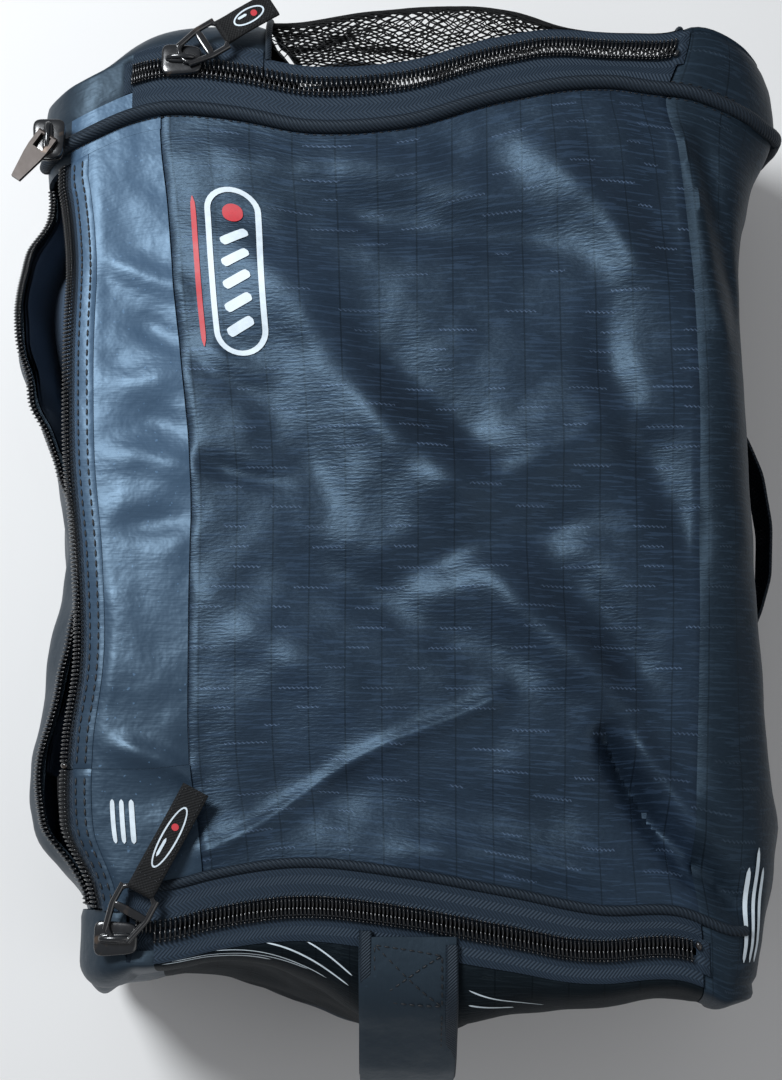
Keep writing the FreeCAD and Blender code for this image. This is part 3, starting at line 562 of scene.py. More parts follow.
class Nodes:
    """Short names for building one material."""

    def __init__(self, name):
        self.material = bpy.data.materials.new(name)
        self.material.use_nodes = True
        self.tree = self.material.node_tree
        self.shader = self.tree.nodes["Principled BSDF"]
        self.uv = self.add("ShaderNodeUVMap")
        self.uv.uv_map = "cloth"
        split = self.add("ShaderNodeSeparateXYZ")
        self.link(self.uv.outputs[0], split.inputs[0])
        self.u, self.v = split.outputs[0], split.outputs[1]
        self.spot = self.add("ShaderNodeTexCoord").outputs["Object"]

    def add(self, kind, **settings):
        node = self.tree.nodes.new(kind)
        for key, item in settings.items():
            setattr(node, key, item)
        return node

    def link(self, a, b):
        self.tree.links.new(a, b)

    def put(self, socket, item):
        if isinstance(item, bpy.types.NodeSocket):
            self.link(item, socket)
        else:
            socket.default_value = item

    def math(self, operation, *items):
        node = self.add("ShaderNodeMath", operation=operation)
        for i, item in enumerate(items):
            self.put(node.inputs[i], item)
        return node.outputs[0]

    def wave(self, source, pitch, shift=0.0):
        angle = self.math("MULTIPLY_ADD", source, 2 * math.pi / pitch, shift)
        return self.math("SINE", angle)

    def line(self, source, pitch, width):
        """1 on thin lines that repeat every pitch."""
        part = self.math("FRACT", self.math("MULTIPLY_ADD", source, 1 / pitch, 0.0))
        away = self.math("ABSOLUTE", self.math("SUBTRACT", part, 0.5))
        return self.math("LESS_THAN", away, width / pitch / 2)

    def noise(self, scale, detail=2.0, stretch=(1, 1, 1), source=None):
        move = self.add("ShaderNodeMapping")
        self.link(source or self.spot, move.inputs["Vector"])
        move.inputs["Scale"].default_value = stretch
        node = self.add("ShaderNodeTexNoise")
        self.link(move.outputs[0], node.inputs["Vector"])
        node.inputs["Scale"].default_value = scale
        node.inputs["Detail"].default_value = detail
        return node.outputs["Fac"]

    def mix(self, factor, a, b):
        node = self.add("ShaderNodeMix", data_type="RGBA")
        self.put(node.inputs[0], factor)
        for socket, item in ((node.inputs[6], a), (node.inputs[7], b)):
            self.put(socket, item if isinstance(item, bpy.types.NodeSocket) else (*item, 1))
        return node.outputs[2]

    def bump(self, height, distance, strength=1.0, base=None):
        node = self.add("ShaderNodeBump")
        node.inputs["Strength"].default_value = strength
        node.inputs["Distance"].default_value = distance
        self.link(height, node.inputs["Height"])
        if base is not None:
            self.link(base, node.inputs["Normal"])
        return node.outputs[0]

    def finish(self, colour, rough, normal=None, **settings):
        self.put(self.shader.inputs["Base Color"], colour)
        self.put(self.shader.inputs["Roughness"], rough)
        if normal is not None:
            self.link(normal, self.shader.inputs["Normal"])
        for key, item in settings.items():
            socket = self.shader.inputs[key.replace("_", " ").title().replace("Ior", "IOR")]
            self.put(socket, (*item, 1) if isinstance(item, tuple) else item)
        return self.material


def shade(colour, factor):
    return tuple(c * factor for c in colour)


def ripstop(name, colour, marks=1.0, shine=0.5, rough=0.44):
    """Plain weave with thin square lines and short floating dashes."""
    n = Nodes(name)
    fuzz = n.noise(900, 2, (0.3, 1, 1), n.uv.outputs[0])
    slub = n.noise(700, 2, (0.07, 1, 1), n.uv.outputs[0])
    cloud = n.math("MULTIPLY_ADD", n.noise(11, 3), 2.4, -0.75)
    base = n.mix(n.math("MINIMUM", n.math("MAXIMUM", cloud, 0.0), 1.0), shade(colour, 0.6), shade(colour, 1.35))
    base = n.mix(n.math("MULTIPLY", fuzz, 0.75), base, shade(colour, 0.25))
    base = n.mix(n.math("MULTIPLY", n.math("GREATER_THAN", slub, 0.57), 0.45), base, shade(colour, 2.1))
    lines = n.line(n.u, 0.0182, 0.0007)
    base = n.mix(n.math("MULTIPLY", lines, 0.7), base, shade(colour, 0.2))
    zig = n.math("MULTIPLY", n.wave(n.u, 0.0023), 0.00035)
    v = n.math("ADD", n.v, zig)
    row = n.math("FLOOR", n.math("MULTIPLY", v, 1 / 0.0102))
    dice = n.add("ShaderNodeTexWhiteNoise", noise_dimensions="1D")
    n.link(row, dice.inputs["W"])
    along = n.math("MULTIPLY_ADD", n.u, 1 / 0.041, dice.outputs["Value"])
    turn = n.add("ShaderNodeTexWhiteNoise", noise_dimensions="2D")
    cell = n.add("ShaderNodeCombineXYZ")
    n.link(row, cell.inputs[0])
    n.link(n.math("FLOOR", along), cell.inputs[1])
    n.link(cell.outputs[0], turn.inputs["Vector"])
    long = n.math("MULTIPLY_ADD", turn.outputs["Value"], 0.4, 0.14)
    dash = n.math("LESS_THAN", n.math("FRACT", along), long)
    gate = n.math("GREATER_THAN", n.math("FRACT", n.math("MULTIPLY", turn.outputs["Value"], 7.13)), 0.25)
    mark = n.math("MULTIPLY", n.math("MULTIPLY", n.line(v, 0.0102, 0.0008), dash), gate)
    broken = n.math("MULTIPLY", mark, n.math("MULTIPLY_ADD", n.wave(n.u, 0.0023, 1.2), 0.35, 0.65))
    patchy = n.math("MULTIPLY", broken, n.math("MULTIPLY", n.noise(22, 1), 1.1 * marks))
    base = n.mix(n.math("MINIMUM", patchy, 1.0), base, shade((colour[0] * 1.3, colour[1] * 1.1, colour[2]), 5.5))
    grain = n.math("ADD", n.math("MULTIPLY", fuzz, 0.8), n.math("MULTIPLY", slub, 0.6))
    grain = n.math("ADD", grain, n.math("MULTIPLY", mark, 0.8))
    grain = n.math("SUBTRACT", grain, n.math("MULTIPLY", lines, 0.6))
    wrinkle = n.bump(n.noise(30, 2), 0.0025, 0.5)
    normal = n.bump(grain, 0.0004, 0.7, wrinkle)
    return n.finish(base, rough, normal, specular_ior_level=shine, specular_tint=(0.5, 0.75, 1.0))


def coated(name, colour, rough=0.42, painted_falloff_shade=True):
    """Smooth proofed cloth with a faint weave; its fourth argument paints shade that darkens it towards the print end,
    standing in for the light's falloff.
    """
    n = Nodes(name)
    thread = n.noise(600, 2, (0.1, 1, 1), n.uv.outputs[0])
    cloud = n.noise(14, 3)
    base = n.mix(cloud, shade(colour, 0.8), shade(colour, 1.25))
    base = n.mix(n.math("MULTIPLY", thread, 0.3), base, shade(colour, 0.5))
    # Painted shade: the colour darkens towards the print end to stand in for the key light's falloff.
    if painted_falloff_shade:
        near = n.add("ShaderNodeMapRange", interpolation_type="SMOOTHSTEP")
        n.link(n.v, near.inputs["Value"])
        near.inputs["From Min"].default_value = -0.16
        near.inputs["From Max"].default_value = 0.12
        base = n.mix(near.outputs["Result"], shade(colour, 0.33), base)
    dust = n.math("GREATER_THAN", n.noise(420, 1), 0.74)
    base = n.mix(n.math("MULTIPLY", dust, 0.35), base, shade(colour, 2.6))
    wrinkle = n.bump(n.noise(38, 4), 0.0035, 0.5)
    normal = n.bump(thread, 0.00022, 0.5, wrinkle)
    rough_map = n.math("MULTIPLY_ADD", n.noise(60, 3), 0.16, rough - 0.08)
    return n.finish(base, rough_map, normal, specular_ior_level=0.6, specular_tint=(0.55, 0.78, 1.0))


def twill(name, colour, pitch=0.0016, chevron=0.0, rough=0.62, depth=0.00035):
    """Diagonal ribs, turned back every chevron metres for a herringbone."""
    n = Nodes(name)
    across = n.v
    if chevron:
        across = n.math("PINGPONG", n.v, chevron)
    rib = n.wave(n.math("ADD", n.u, n.math("MULTIPLY", across, 0.9)), pitch)
    rib01 = n.math("MULTIPLY_ADD", rib, 0.5, 0.5)
    fuzz = n.noise(1100, 2)
    base = n.mix(rib01, shade(colour, 0.6), shade(colour, 1.5))
    base = n.mix(n.math("MULTIPLY", fuzz, 0.4), base, shade(colour, 0.5))
    height = n.math("ADD", rib01, n.math("MULTIPLY", fuzz, 0.5))
    normal = n.bump(height, depth, 0.8, n.bump(n.noise(60, 2), 0.0015, 0.3))
    return n.finish(base, rough, normal, specular_ior_level=0.3, specular_tint=(0.7, 0.85, 1.0))


def plain_cloth(name, colour, rough=0.7, pitch=0.0013, sheen=0.05):
    """Close weave, lightly clouded."""
    n = Nodes(name)
    weave = n.math("MULTIPLY", n.wave(n.u, pitch), n.wave(n.v, pitch))
    fuzz = n.noise(900, 3)
    cloud = n.noise(12, 3)
    base = n.mix(cloud, shade(colour, 0.75), shade(colour, 1.3))
    base = n.mix(n.math("MULTIPLY", fuzz, 0.45), base, shade(colour, 0.45))
    height = n.math("ADD", n.math("MULTIPLY", weave, 0.5), fuzz)
    normal = n.bump(height, 0.0003, 0.7, n.bump(n.noise(42, 4), 0.003, 0.4))
    return n.finish(base, rough, normal, sheen_weight=sheen, sheen_roughness=0.5, specular_ior_level=0.25)


def hard(name, colour, rough, worn=None, metallic=0.0, coat=0.0):
    """Plastic, thread, print or metal, with paint rubbed down to worn."""
    n = Nodes(name)
    scratches = n.noise(260, 4)
    base = n.mix(scratches, shade(colour, 0.8), shade(colour, 1.3))
    if worn is not None:
        rub = n.math("SUBTRACT", n.noise(90, 5), 0.6)
        rub = n.math("MINIMUM", n.math("MAXIMUM", n.math("MULTIPLY", rub, 7.0), 0.0), 0.5)
        base = n.mix(rub, base, worn)
    normal = n.bump(n.noise(350, 3), 0.00012, 0.35)
    rough_map = n.math("MULTIPLY_ADD", scratches, 0.18, rough - 0.07)
    return n.finish(base, rough_map, normal, metallic=metallic, coat_weight=coat, coat_roughness=0.15)


RIPSTOP = ripstop("ripstop", (0.0122, 0.0215, 0.038))
COATED = coated("coated", (0.042, 0.077, 0.128))
COATED_DARK = coated("coated_dark", (0.0105, 0.016, 0.023), 0.5, False)
GUSSET = ripstop("gusset_cloth", (0.0085, 0.0145, 0.0225), 0.4, 0.3, 0.52)
PRINT = ripstop("print_cloth", (0.0045, 0.0065, 0.008), 0.2, 0.12, 0.62)
LINING = plain_cloth("lining_cloth", (0.085, 0.125, 0.185), 0.6, sheen=0.02)
# Near-black lining cloth; the same colour on the foot's sheet between the rows is painted shadow.
LINING_AND_SHADOW_BLACK = plain_cloth("dark_lining", (0.0018, 0.0024, 0.0034), 0.8, sheen=0.0)
TAPE = twill("tape_cloth", (0.0135, 0.0225, 0.036), 0.0019, 0.004)
PIPING = twill("piping_cloth", (0.009, 0.0135, 0.020), 0.0022)
COIL = hard("coil_nylon", (0.002, 0.0026, 0.0035), 0.2, coat=0.3)
STITCH = hard("thread", (0.003, 0.0045, 0.007), 0.55)
NET = plain_cloth("mesh_cloth", (0.003, 0.0035, 0.004), 0.6, sheen=0.02)
WEBBING = twill("handle_webbing", (0.007, 0.010, 0.015), 0.0024, 0.0035, 0.6, 0.0005)
HANDLE_FACE = coated("handle_face", (0.0085, 0.0135, 0.0195), 0.5, False)
BINDING = twill("binding", (0.010, 0.015, 0.022), 0.0015, 0.0, 0.55)
TAB = plain_cloth("tab_webbing", (0.002, 0.0024, 0.003), 0.7, pitch=0.0018, sheen=0.03)
PLASTIC = hard("pull_plastic", (0.003, 0.0035, 0.0045), 0.14, worn=(0.05, 0.035, 0.025), coat=0.8)
SLIDER = hard("slider_metal", (0.005, 0.006, 0.0075), 0.2, worn=(0.10, 0.066, 0.042), coat=0.6)
LEAF = hard("leaf_metal", (0.035, 0.027, 0.023), 0.4, worn=(0.16, 0.11, 0.08), metallic=0.5)
BOARD = plain_cloth("board_foam", (0.008, 0.010, 0.013), 0.85)
WHITE = hard("white_print", (0.50, 0.57, 0.62), 0.5)
RED = hard("red_print", (0.40, 0.010, 0.020), 0.5)

# ---------------------------------------------------------------- shell panels

long_run = (PRINT_FLAP, MESH_FLAP)
fit(cloth("front_cloth", [("top", (SEAM, RIGHT_SEAM), (PANEL_PRINT + 0.0085, PANEL_MESH - 0.012))],
          [RIPSTOP, LINING_AND_SHADOW_BLACK], step=0.0025, thick=0.0035), "bag", "ripstop", "front_panel")
fit(cloth("right_gusset_cloth", [
    ("top", (RIGHT_SEAM, RIGHT), long_run), ("right", long_run, (TOP, 0)), ("bottom", (RIGHT, RIGHT_SEAM), long_run)],
    [GUSSET, LINING_AND_SHADOW_BLACK], step=0.0035), "bag", "gusset_cloth", "right_gusset")
fit(cloth("left_gusset_cloth", [
    ("left", long_run, (LIP + 0.002, 0)), ("bottom", (LEFT, LEFT + ROUND), long_run)],
    [COATED_DARK, LINING], step=0.0035), "bag", "gusset_cloth", "left_gusset", "pocket_lip")
fit(cloth("back_cloth", [("bottom", (LEFT + ROUND, RIGHT_SEAM), long_run)],
          [GUSSET, LINING_AND_SHADOW_BLACK], step=0.006), "bag", "gusset_cloth", "back_panel")

# Each end: its run from the wall to the flap's seam, the run on to the panel, the flap's left edge.
ENDS = {
    "print": ((PRINT_END, PRINT_FLAP), (PRINT_FLAP, PANEL_PRINT), PRINT_FLAP_X),
    "mesh": ((MESH_FLAP, MESH_END), (PANEL_MESH, MESH_FLAP), MESH_FLAP_X),
}
SLOT1, SLOT2 = low("zip1_slider").x, low("zip2_slider").x


def corner(end, side, xs):
    """The four faces that meet in a corner piece."""
    ys = ENDS[end][0]
    return [("top", xs, ys), (side, ys, (0, TOP)), (end, xs, (0, TOP)), ("bottom", xs, ys)]


def beside_slot(start, flap_y):
    """The corner's cloth on top stops at the slot under the parked slider."""
    def keep(p):
        return ~((p[:, 2] > TOP - 1e-6) & (p[:, 0] > start - 0.003) & (np.abs(p[:, 1]) < abs(flap_y) - 1e-6))
    return keep


for end, inside in (("print", LINING_AND_SHADOW_BLACK), ("mesh", GUSSET)):
    fit(cloth(f"corner_{end}_right_cloth", corner(end, "right", (RIGHT_SEAM, RIGHT)), [GUSSET, inside]),
        "bag", "gusset_cloth", f"corner_{end}_right")
for end, slot, flap_y in (("print", SLOT2, PRINT_FLAP), ("mesh", SLOT1, MESH_FLAP)):
    _, inner, flap_x = ENDS[end]
    patches = corner(end, "left", (LEFT, flap_x)) + [("top", (LEFT, flap_x), inner), ("left", inner, (LIP, TOP))]
    fit(cloth(f"corner_{end}_left_cloth", patches, [COATED_DARK, LINING_AND_SHADOW_BLACK], keep=beside_slot(slot, flap_y)),
        "bag", "coated", f"corner_{end}_left")
for end, (ys, _, flap_x) in ENDS.items():
    fit(cloth(f"skirt_{end}_cloth", [
        (end, (flap_x, RIGHT_SEAM), (0, FOLD)), ("bottom", (flap_x, RIGHT_SEAM), ys)],
        [GUSSET, LINING_AND_SHADOW_BLACK]), "bag", "gusset_cloth", f"skirt_{end}")

# The coated strip and the fixed coated cloth at both of its ends.
STRIP_CLOTH = {"step": 0.0025, "thick": 0.0026, "tuck": 0.0}
HEM = {"step": 0.002, "thick": 0.0016, "lift": 0.0012, "tuck": 0.0007}
head_run, foot_run = (STRIP_HIGH + 0.0001, PANEL_MESH), (PANEL_PRINT, STRIP_LOW - 0.0002)
fit(cloth("strip_cloth", [("top", (STRIP_EDGE, SEAM - 0.0004), (STRIP_LOW, STRIP_HIGH))],
          [COATED, LINING_AND_SHADOW_BLACK], **STRIP_CLOTH),
    ("bag", "pocket_front", (SEAM - 0.012, 0, TOP), (SEAM - 0.04, 0, TOP)), "coated", "coated_strip")
fit(cloth("strip_head_cloth", [("top", (STRIP_EDGE - 0.002, SEAM), head_run)],
          [COATED, LINING_AND_SHADOW_BLACK], **STRIP_CLOTH), "bag", "coated", "strip_head")
fit(cloth("strip_head_side_cloth", [("top", (LEFT, STRIP_EDGE - 0.002), head_run), ("left", head_run, (LIP, TOP))],
          [COATED_DARK, LINING_AND_SHADOW_BLACK], **STRIP_CLOTH), "bag", "coated")
fit(cloth("strip_foot_cloth", [("top", (STRIP_EDGE, SEAM), foot_run)],
          [COATED, LINING_AND_SHADOW_BLACK], **STRIP_CLOTH), "bag", "coated", "strip_foot")
for name, ys, body in (("strip", (STRIP_LOW, STRIP_HIGH), "pocket_front"), ("foot", foot_run, "bag")):
    fit(cloth(f"{name}_hem_cloth", [("top", (STRIP_EDGE - 0.0006, STRIP_EDGE + 0.0115), ys)], COATED, **HEM),
        body, "coated")
# A near-black sheet set deep between the foot's two rows: painted shadow standing for the shade in the pocket's mouth.
shadow_sheet_run = (PANEL_PRINT, STRIP_LOW - 0.0005)
fit(cloth("foot_pleat_cloth", [("top", (LEFT, STRIP_EDGE), shadow_sheet_run), ("left", shadow_sheet_run, (LIP, TOP))],
          LINING_AND_SHADOW_BLACK, step=0.003, lift=-0.009), "bag", "lining_cloth")

# ---------------------------------------------------------------- end flaps


def over_fold(body, end_y, start):
    """The bag, a flap's body and two points across its fold; fit only bakes the piece in place with it and makes no
    blend.
    """
    return "bag", body, (0, end_y, FOLD + start), (0, end_y, FOLD + 0.022)


fit(cloth("print_flap_cloth", [
    ("top", (PRINT_FLAP_X, FLAP_RIGHT), (PRINT_FLAP, PRINT_END)), ("print", (PRINT_FLAP_X, FLAP_RIGHT), (TOP, FOLD))],
    [PRINT, LINING_AND_SHADOW_BLACK], step=0.003), over_fold("print_end_flap", PRINT_END, 0.001), "print_cloth", "print_flap")


def diamond_net(name, left, right, run, pitch_x, pitch_s, place, thick):
    """A knitted net: slack diamonds whose corners wander, as round strands."""
    nx, ns = round((right - left) / pitch_x), round(run / pitch_s)
    spots, where = [], {}
    for i in range(2 * nx + 1):
        for j in range(2 * ns + 1):
            if (i + j) % 2 == 0:
                stray = 0 if i in (0, 2 * nx) or j in (0, 2 * ns) else 0.17
                where[i, j] = len(spots)
                spots.append((
                    left + (i / 2 + rng.uniform(-stray, stray)) * (right - left) / nx,
                    (j / 2 + rng.uniform(-stray, stray)) * run / ns))
    faces = [
        [where[i - 1, j], where[i, j - 1], where[i + 1, j], where[i, j + 1]]
        for i in range(1, 2 * nx) for j in range(1, 2 * ns) if (i + j) % 2 == 1
    ]
    spots = np.array(spots)
    obj = mesh_object(name, place(spots[:, 0], spots[:, 1]), faces, NET, spots, smooth=180)
    wire = obj.modifiers.new("strands", "WIREFRAME")
    wire.thickness = thick
    wire.use_even_offset = False
    wire.use_replace = True
    graph = bpy.context.evaluated_depsgraph_get()
    data = bpy.data.meshes.new_from_object(obj.evaluated_get(graph))
    obj.modifiers.clear()
    obj.data = data
    data.shade_smooth()
    return obj


mesh_swell = curve((-0.06, 0.003), (-0.03, 0.006), (0.0, 0.006), (0.06, 0), (0.15, 0))
mesh_top = MESH_END - MESH_FLAP
net_run = mesh_top + TOP - FOLD - 0.008
mesh_fold = over_fold("mesh_end_flap", MESH_END, 0.002)


def over_mesh(x, s, lift=0.0):
    """From the mesh flap's zip over the rounding and down its face."""
    x, s = (np.ravel(v) for v in np.broadcast_arrays(x, s))
    y = np.minimum(MESH_FLAP + s, MESH_END)
    z = TOP - np.maximum(s - mesh_top, 0)
    p = slump(skin(np.stack([x, y, z], axis=-1), lift))
    p[:, 1] += mesh_swell(x) * ramp(s / 0.03)
    puff = 0.005 * hat(s, 0, 0.03, 0.08) * hat(x, MESH_FLAP_X, -0.01, 0.1)
    p[:, 1:] += 0.7 * puff[:, None]
    return p


fit(diamond_net("mesh_net", MESH_FLAP_X + 0.002, FLAP_RIGHT - 0.002, net_run - 0.006, 0.0064, 0.0056,
                lambda x, s: over_mesh(x, s + 0.006, -0.001), 0.0011),
    mesh_fold, "mesh_cloth", "mesh_flap")
down = 0.002 + np.linspace(0, 1, 60) * (net_run - 0.002)
for name, x, s, radius in (
    ("left", MESH_FLAP_X + 0.0015, down, 0.0018), ("right", FLAP_RIGHT - 0.0015, down, 0.0018),
    ("fold", MESH_FLAP_X + np.linspace(0, 1, 80) * (FLAP_RIGHT - MESH_FLAP_X), net_run, 0.0022),
):
    fit(tube(f"mesh_{name}_binding", over_mesh(x, s), radius, BINDING, around=10), mesh_fold, "mesh_cloth")

# ---------------------------------------------------------------- zips


def tape(name, x, y, body, *nodes, step=0.0025, thick=0.0009, lift=0.0009, tuck=0.0003, slot="tape_cloth", keep=None):
    return fit(cloth(name, [("top", x, y)], TAPE, thick, step, lift, tuck, keep), body, slot, *nodes)


for node, body, low_more, high_more in (
    ("zip1_panel_tape", "bag", -0.005, 0), ("zip1_outer_tape", "bag", 0, 0),
    ("zip1_flap_tape", "mesh_end_flap", 0, -0.0055), ("zip2_panel_tape", "bag", 0, 0.0035),
    ("zip2_flap_tape", "print_end_flap", 0, 0),
):
    a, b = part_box(node)
    tape(f"{node}_cloth", (a.x, b.x), (a.y + low_more, b.y + high_more), body, node)
a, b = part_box("zip3_strip_tape")
side_tape = (a.x, STRIP_EDGE + 0.002)
tape("zip3_strip_tape_cloth", side_tape, (a.y, b.y), "pocket_front", "zip3_strip_tape", lift=-0.0002)
tape("zip3_foot_tape_cloth", side_tape, (PANEL_PRINT + 0.001, STRIP_LOW - 0.0005), "bag", lift=-0.0002)

# Cloth under the parked sliders, beside them and behind each chain's ends.
for stem, x, y in (
    ("zip2", (LEFT + 0.03, SLOT2 + 0.031), (ZIP2_Y - 0.012, PANEL_PRINT + 0.001)),
    ("zip1", (SLOT1 - 0.004, SLOT1 + 0.03), (PANEL_MESH - 0.001, MESH_FLAP + 0.001)),
):
    tape(f"{stem}_garage_cloth", x, y, "bag", step=0.003, thick=0.0008, lift=-0.0023, tuck=0, slot="lining_cloth")
tape("zip2_corner_tape_cloth", (LEFT + 0.034, SLOT2 + 0.006), (ZIP2_Y - 0.016, PANEL_PRINT + 0.008), "bag",
     thick=0.0008, lift=0.0006, tuck=0.0008,
     keep=lambda p: ~((p[:, 1] > ZIP2_Y - 0.0085) & (p[:, 1] < ZIP2_Y + 0.0085) & (p[:, 0] > SLOT2 - 0.002)))
zip1_end, zip2_end = high("zip1_panel_coil").x, high("zip2_panel_coil").x
for stem, end, y in (("zip1", zip1_end, ZIP1_Y), ("zip2", zip2_end, ZIP2_Y)):
    tape(f"{stem}_end_patch", (end + 0.0006, RIGHT_SEAM + 0.003), (y - 0.009, y + 0.009), "bag",
         step=0.002, thick=0.0012, lift=0.0016, tuck=0.0008)
tape("zip1_start_patch", (SLOT1 - 0.008, low("zip1_outer_coil").x + 0.0006), (ZIP1_Y - 0.0085, ZIP1_Y + 0.0085), "bag",
     step=0.002, thick=0.0012, lift=0.0008, tuck=0.0008)


def zip_row(stem, place, start, end, sign, body, *nodes):
    fit(teeth(f"{stem}_teeth", place, start, end, sign, COIL), body, "coil_nylon", *nodes)
    fit(knobs(f"{stem}_loops", place, start, end, sign, COIL), body, "coil_nylon")
    fit(stitches(f"{stem}_thread", place, start, end, sign * 0.0037, STITCH, PITCH, 0.0013, 0.0034, 0.0003),
        body, "coil_nylon")


zip1, zip2, zip3 = on_top_x(ZIP1_Y), on_top_x(ZIP2_Y), on_top_y(ZIP3_X)
zip_row("zip1_panel_row", zip1, low("zip1_panel_coil").x, zip1_end, -1, "bag", "zip1_panel_coil")
zip_row("zip1_outer_row", zip1, low("zip1_outer_coil").x, MESH_FLAP_X - 0.0006, 1, "bag", "zip1_outer_coil")
zip_row("zip1_flap_row", zip1, MESH_FLAP_X + 0.0004, zip1_end, 1, "mesh_end_flap", "zip1_flap_coil")
zip_row("zip2_panel_row", zip2, middle("zip2_slider").x, zip2_end, 1, "bag", "zip2_panel_coil")
zip_row("zip2_flap_row", zip2, PRINT_FLAP_X + 0.0005, zip2_end, -1, "print_end_flap", "zip2_flap_coil")
zip_row("zip3_strip_row", zip3, STRIP_LOW + 0.003, STRIP_HIGH, 1, "pocket_front", "zip3_strip_coil")
zip_row("zip3_foot_row", zip3, PANEL_PRINT + 0.001, STRIP_LOW - 0.001, 1, "bag")

for node, body, run in (("zip1_stop", "bag", 0), ("zip2_stop", "bag", 0), ("zip3_stop", "pocket_front", 1)):
    spot, half = middle(node), (high(node) - low(node)) / 2
    place = on_top_y(spot.x) if run else on_top_x(spot.y)
    c, al, ac, up = frames(place, np.array([spot[run]]), np.zeros(1), spot.z - TOP)
    size = (half[run] * 1.05, half[1 - run] * 1.2, 0.0018)
    fit(many(f"{node}_metal", c, al, ac, up, size, SLIDER, ball(8, 12)), body, "coil_nylon", node)


def lip_place(t, side, lift):
    """The lip's tape leans in; side runs up it."""
    t, side = np.broadcast_arrays(t, side)
    p = slump(skin(sharp("left", t, LIP + 0.0085 + 0.45 * side), -0.001 + lift * 0.75))
    p[:, 0] += 0.8 * side.ravel()
    p[:, 2] += 0.6 * lift
    return p


lip_run = (PANEL_PRINT + 0.002, STRIP_HIGH)
fit(cloth("zip3_lip_tape_cloth", [("left", lip_run, (LIP - 0.004, LIP + 0.008))],
          TAPE, step=0.0025, thick=0.0009, lift=0.0006, tuck=0.0003), "bag", "tape_cloth", "zip3_lip_tape")
fit(teeth("zip3_lip_teeth", lip_place, *lip_run, 1, COIL, 0.0052, 0.0005), "bag", "coil_nylon", "zip3_lip_coil")
fit(knobs("zip3_lip_loops", lip_place, *lip_run, 1, COIL), "bag", "coil_nylon")

# ---------------------------------------------------------------- piping and welt

# The piping starts on the left side, runs over the top and ends low on the right side.
piping_start, piping_end = 0.142, 0.03
rise, span = TOP - piping_start, RIGHT - LEFT
s = np.linspace(0, 1, 220) * (rise + span + TOP - piping_end)
px = np.clip(LEFT + s - rise, LEFT, RIGHT)
pz = np.where(s < rise, piping_start + s, np.where(s > rise + span, TOP - (s - rise - span), TOP))
piping_y = middle("top_piping").y + 0.003
line = slump(skin(np.stack([px, np.full_like(px, piping_y), pz], axis=-1), 0.0014))
fit(tube("piping_cord", line, 0.0036, PIPING, around=16), "bag", "piping_cloth", "top_piping")
for name, away in (("low", -0.0043), ("high", 0.0045)):
    fit(stitches(f"piping_seam_{name}", on_top_x(piping_y), LEFT + 0.01, RIGHT - 0.01, away, STITCH,
                 0.0036, 0.0026, 0.0002, 0.0003), "bag", "piping_cloth")
t = np.linspace(LEFT + 0.045, RIGHT - 0.012, 160)
ridge = on_top_x(middle("bottom_welt").y + 0.001)(t, 0 * t, 0.0002)
fit(tube("welt_cord", ridge, 0.0026, PIPING, around=12), "bag", "piping_cloth", "bottom_welt")

# ---------------------------------------------------------------- inside walls

a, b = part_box("pocket_wall")
fit(wall("pocket_wall_cloth", (a.x + 0.0008, a.y, a.z), (0, b.y - a.y, 0), (0, 0, b.z - a.z), 0.0014, 0.004,
         LINING_AND_SHADOW_BLACK), "bag", "lining_cloth", "pocket_wall")
# The pocket's floor lining bunches up beside the lip.
a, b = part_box("pocket_floor")
fx, fy = np.meshgrid(cells(a.x, b.x, 0.003), cells(a.y, b.y, 0.006), indexing="ij")
bunch_x, bunch_high = -0.169, 0.086
bunch = np.exp(-(((fx - bunch_x) / np.where(fx < bunch_x, 0.010, 0.026)) ** 2)) * hat(fy, 0.02, 0.14, 0.2)
uneven = ripple(np.stack([fx.ravel(), fy.ravel(), 0 * fx.ravel()], axis=-1), 0.03, 4).reshape(fx.shape)
bunch += 0.06 * uneven * hat(fx, a.x, -0.15, b.x)
floor_top = slump(np.stack([fx, fy, a.z + 0.001 + bunch_high * bunch], axis=-1), calm=True)
fit(mesh_object("pocket_floor_cloth", np.vstack([floor_top, floor_top - (0, 0, 0.0012)]),
                sheet_faces(*fx.shape, rim=False), LINING, flat_uvs(fx, fy), smooth=60),
    "bag", "lining_cloth", "pocket_floor")
a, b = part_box("compartment_divider")
fit(wall("divider_cloth", (a.x, a.y + 0.0008, a.z), (b.x - a.x, 0, 0), (0, 0, b.z - a.z), 0.0014, 0.004, LINING_AND_SHADOW_BLACK),
    "bag", "lining_cloth", "compartment_divider")
a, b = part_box("stiffener_board")
fit(wall("board_sheet", (a.x, a.y, a.z + 0.0015), (b.x - a.x, 0, 0), (0, b.y - a.y, 0), 0.003, 0.0, BOARD, 0.02),
    "bag", "board_foam", "stiffener_board")

# The pale lining stands inside the lip and leans out with it.
a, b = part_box("pocket_lining")
ly, lz = np.meshgrid(cells(a.y, b.y, 0.004), cells(a.z, LIP + 0.006, 0.004), indexing="ij")


def lining(depth):
    p = slump(skin(sharp("left", ly.ravel(), lz.ravel()), -0.0045 - depth))
    p[:, 0] += 0.006 * (1 - ramp((lz.ravel() - 0.1) / 0.03))
    return p


fit(mesh_object("pocket_lining_cloth", np.vstack([lining(0.0), lining(0.0012)]),
                sheet_faces(*ly.shape, flip=True, rim=False), LINING, flat_uvs(ly, lz), smooth=60),
    "bag", "lining_cloth", "pocket_lining")

# ---------------------------------------------------------------- stitching on the panels

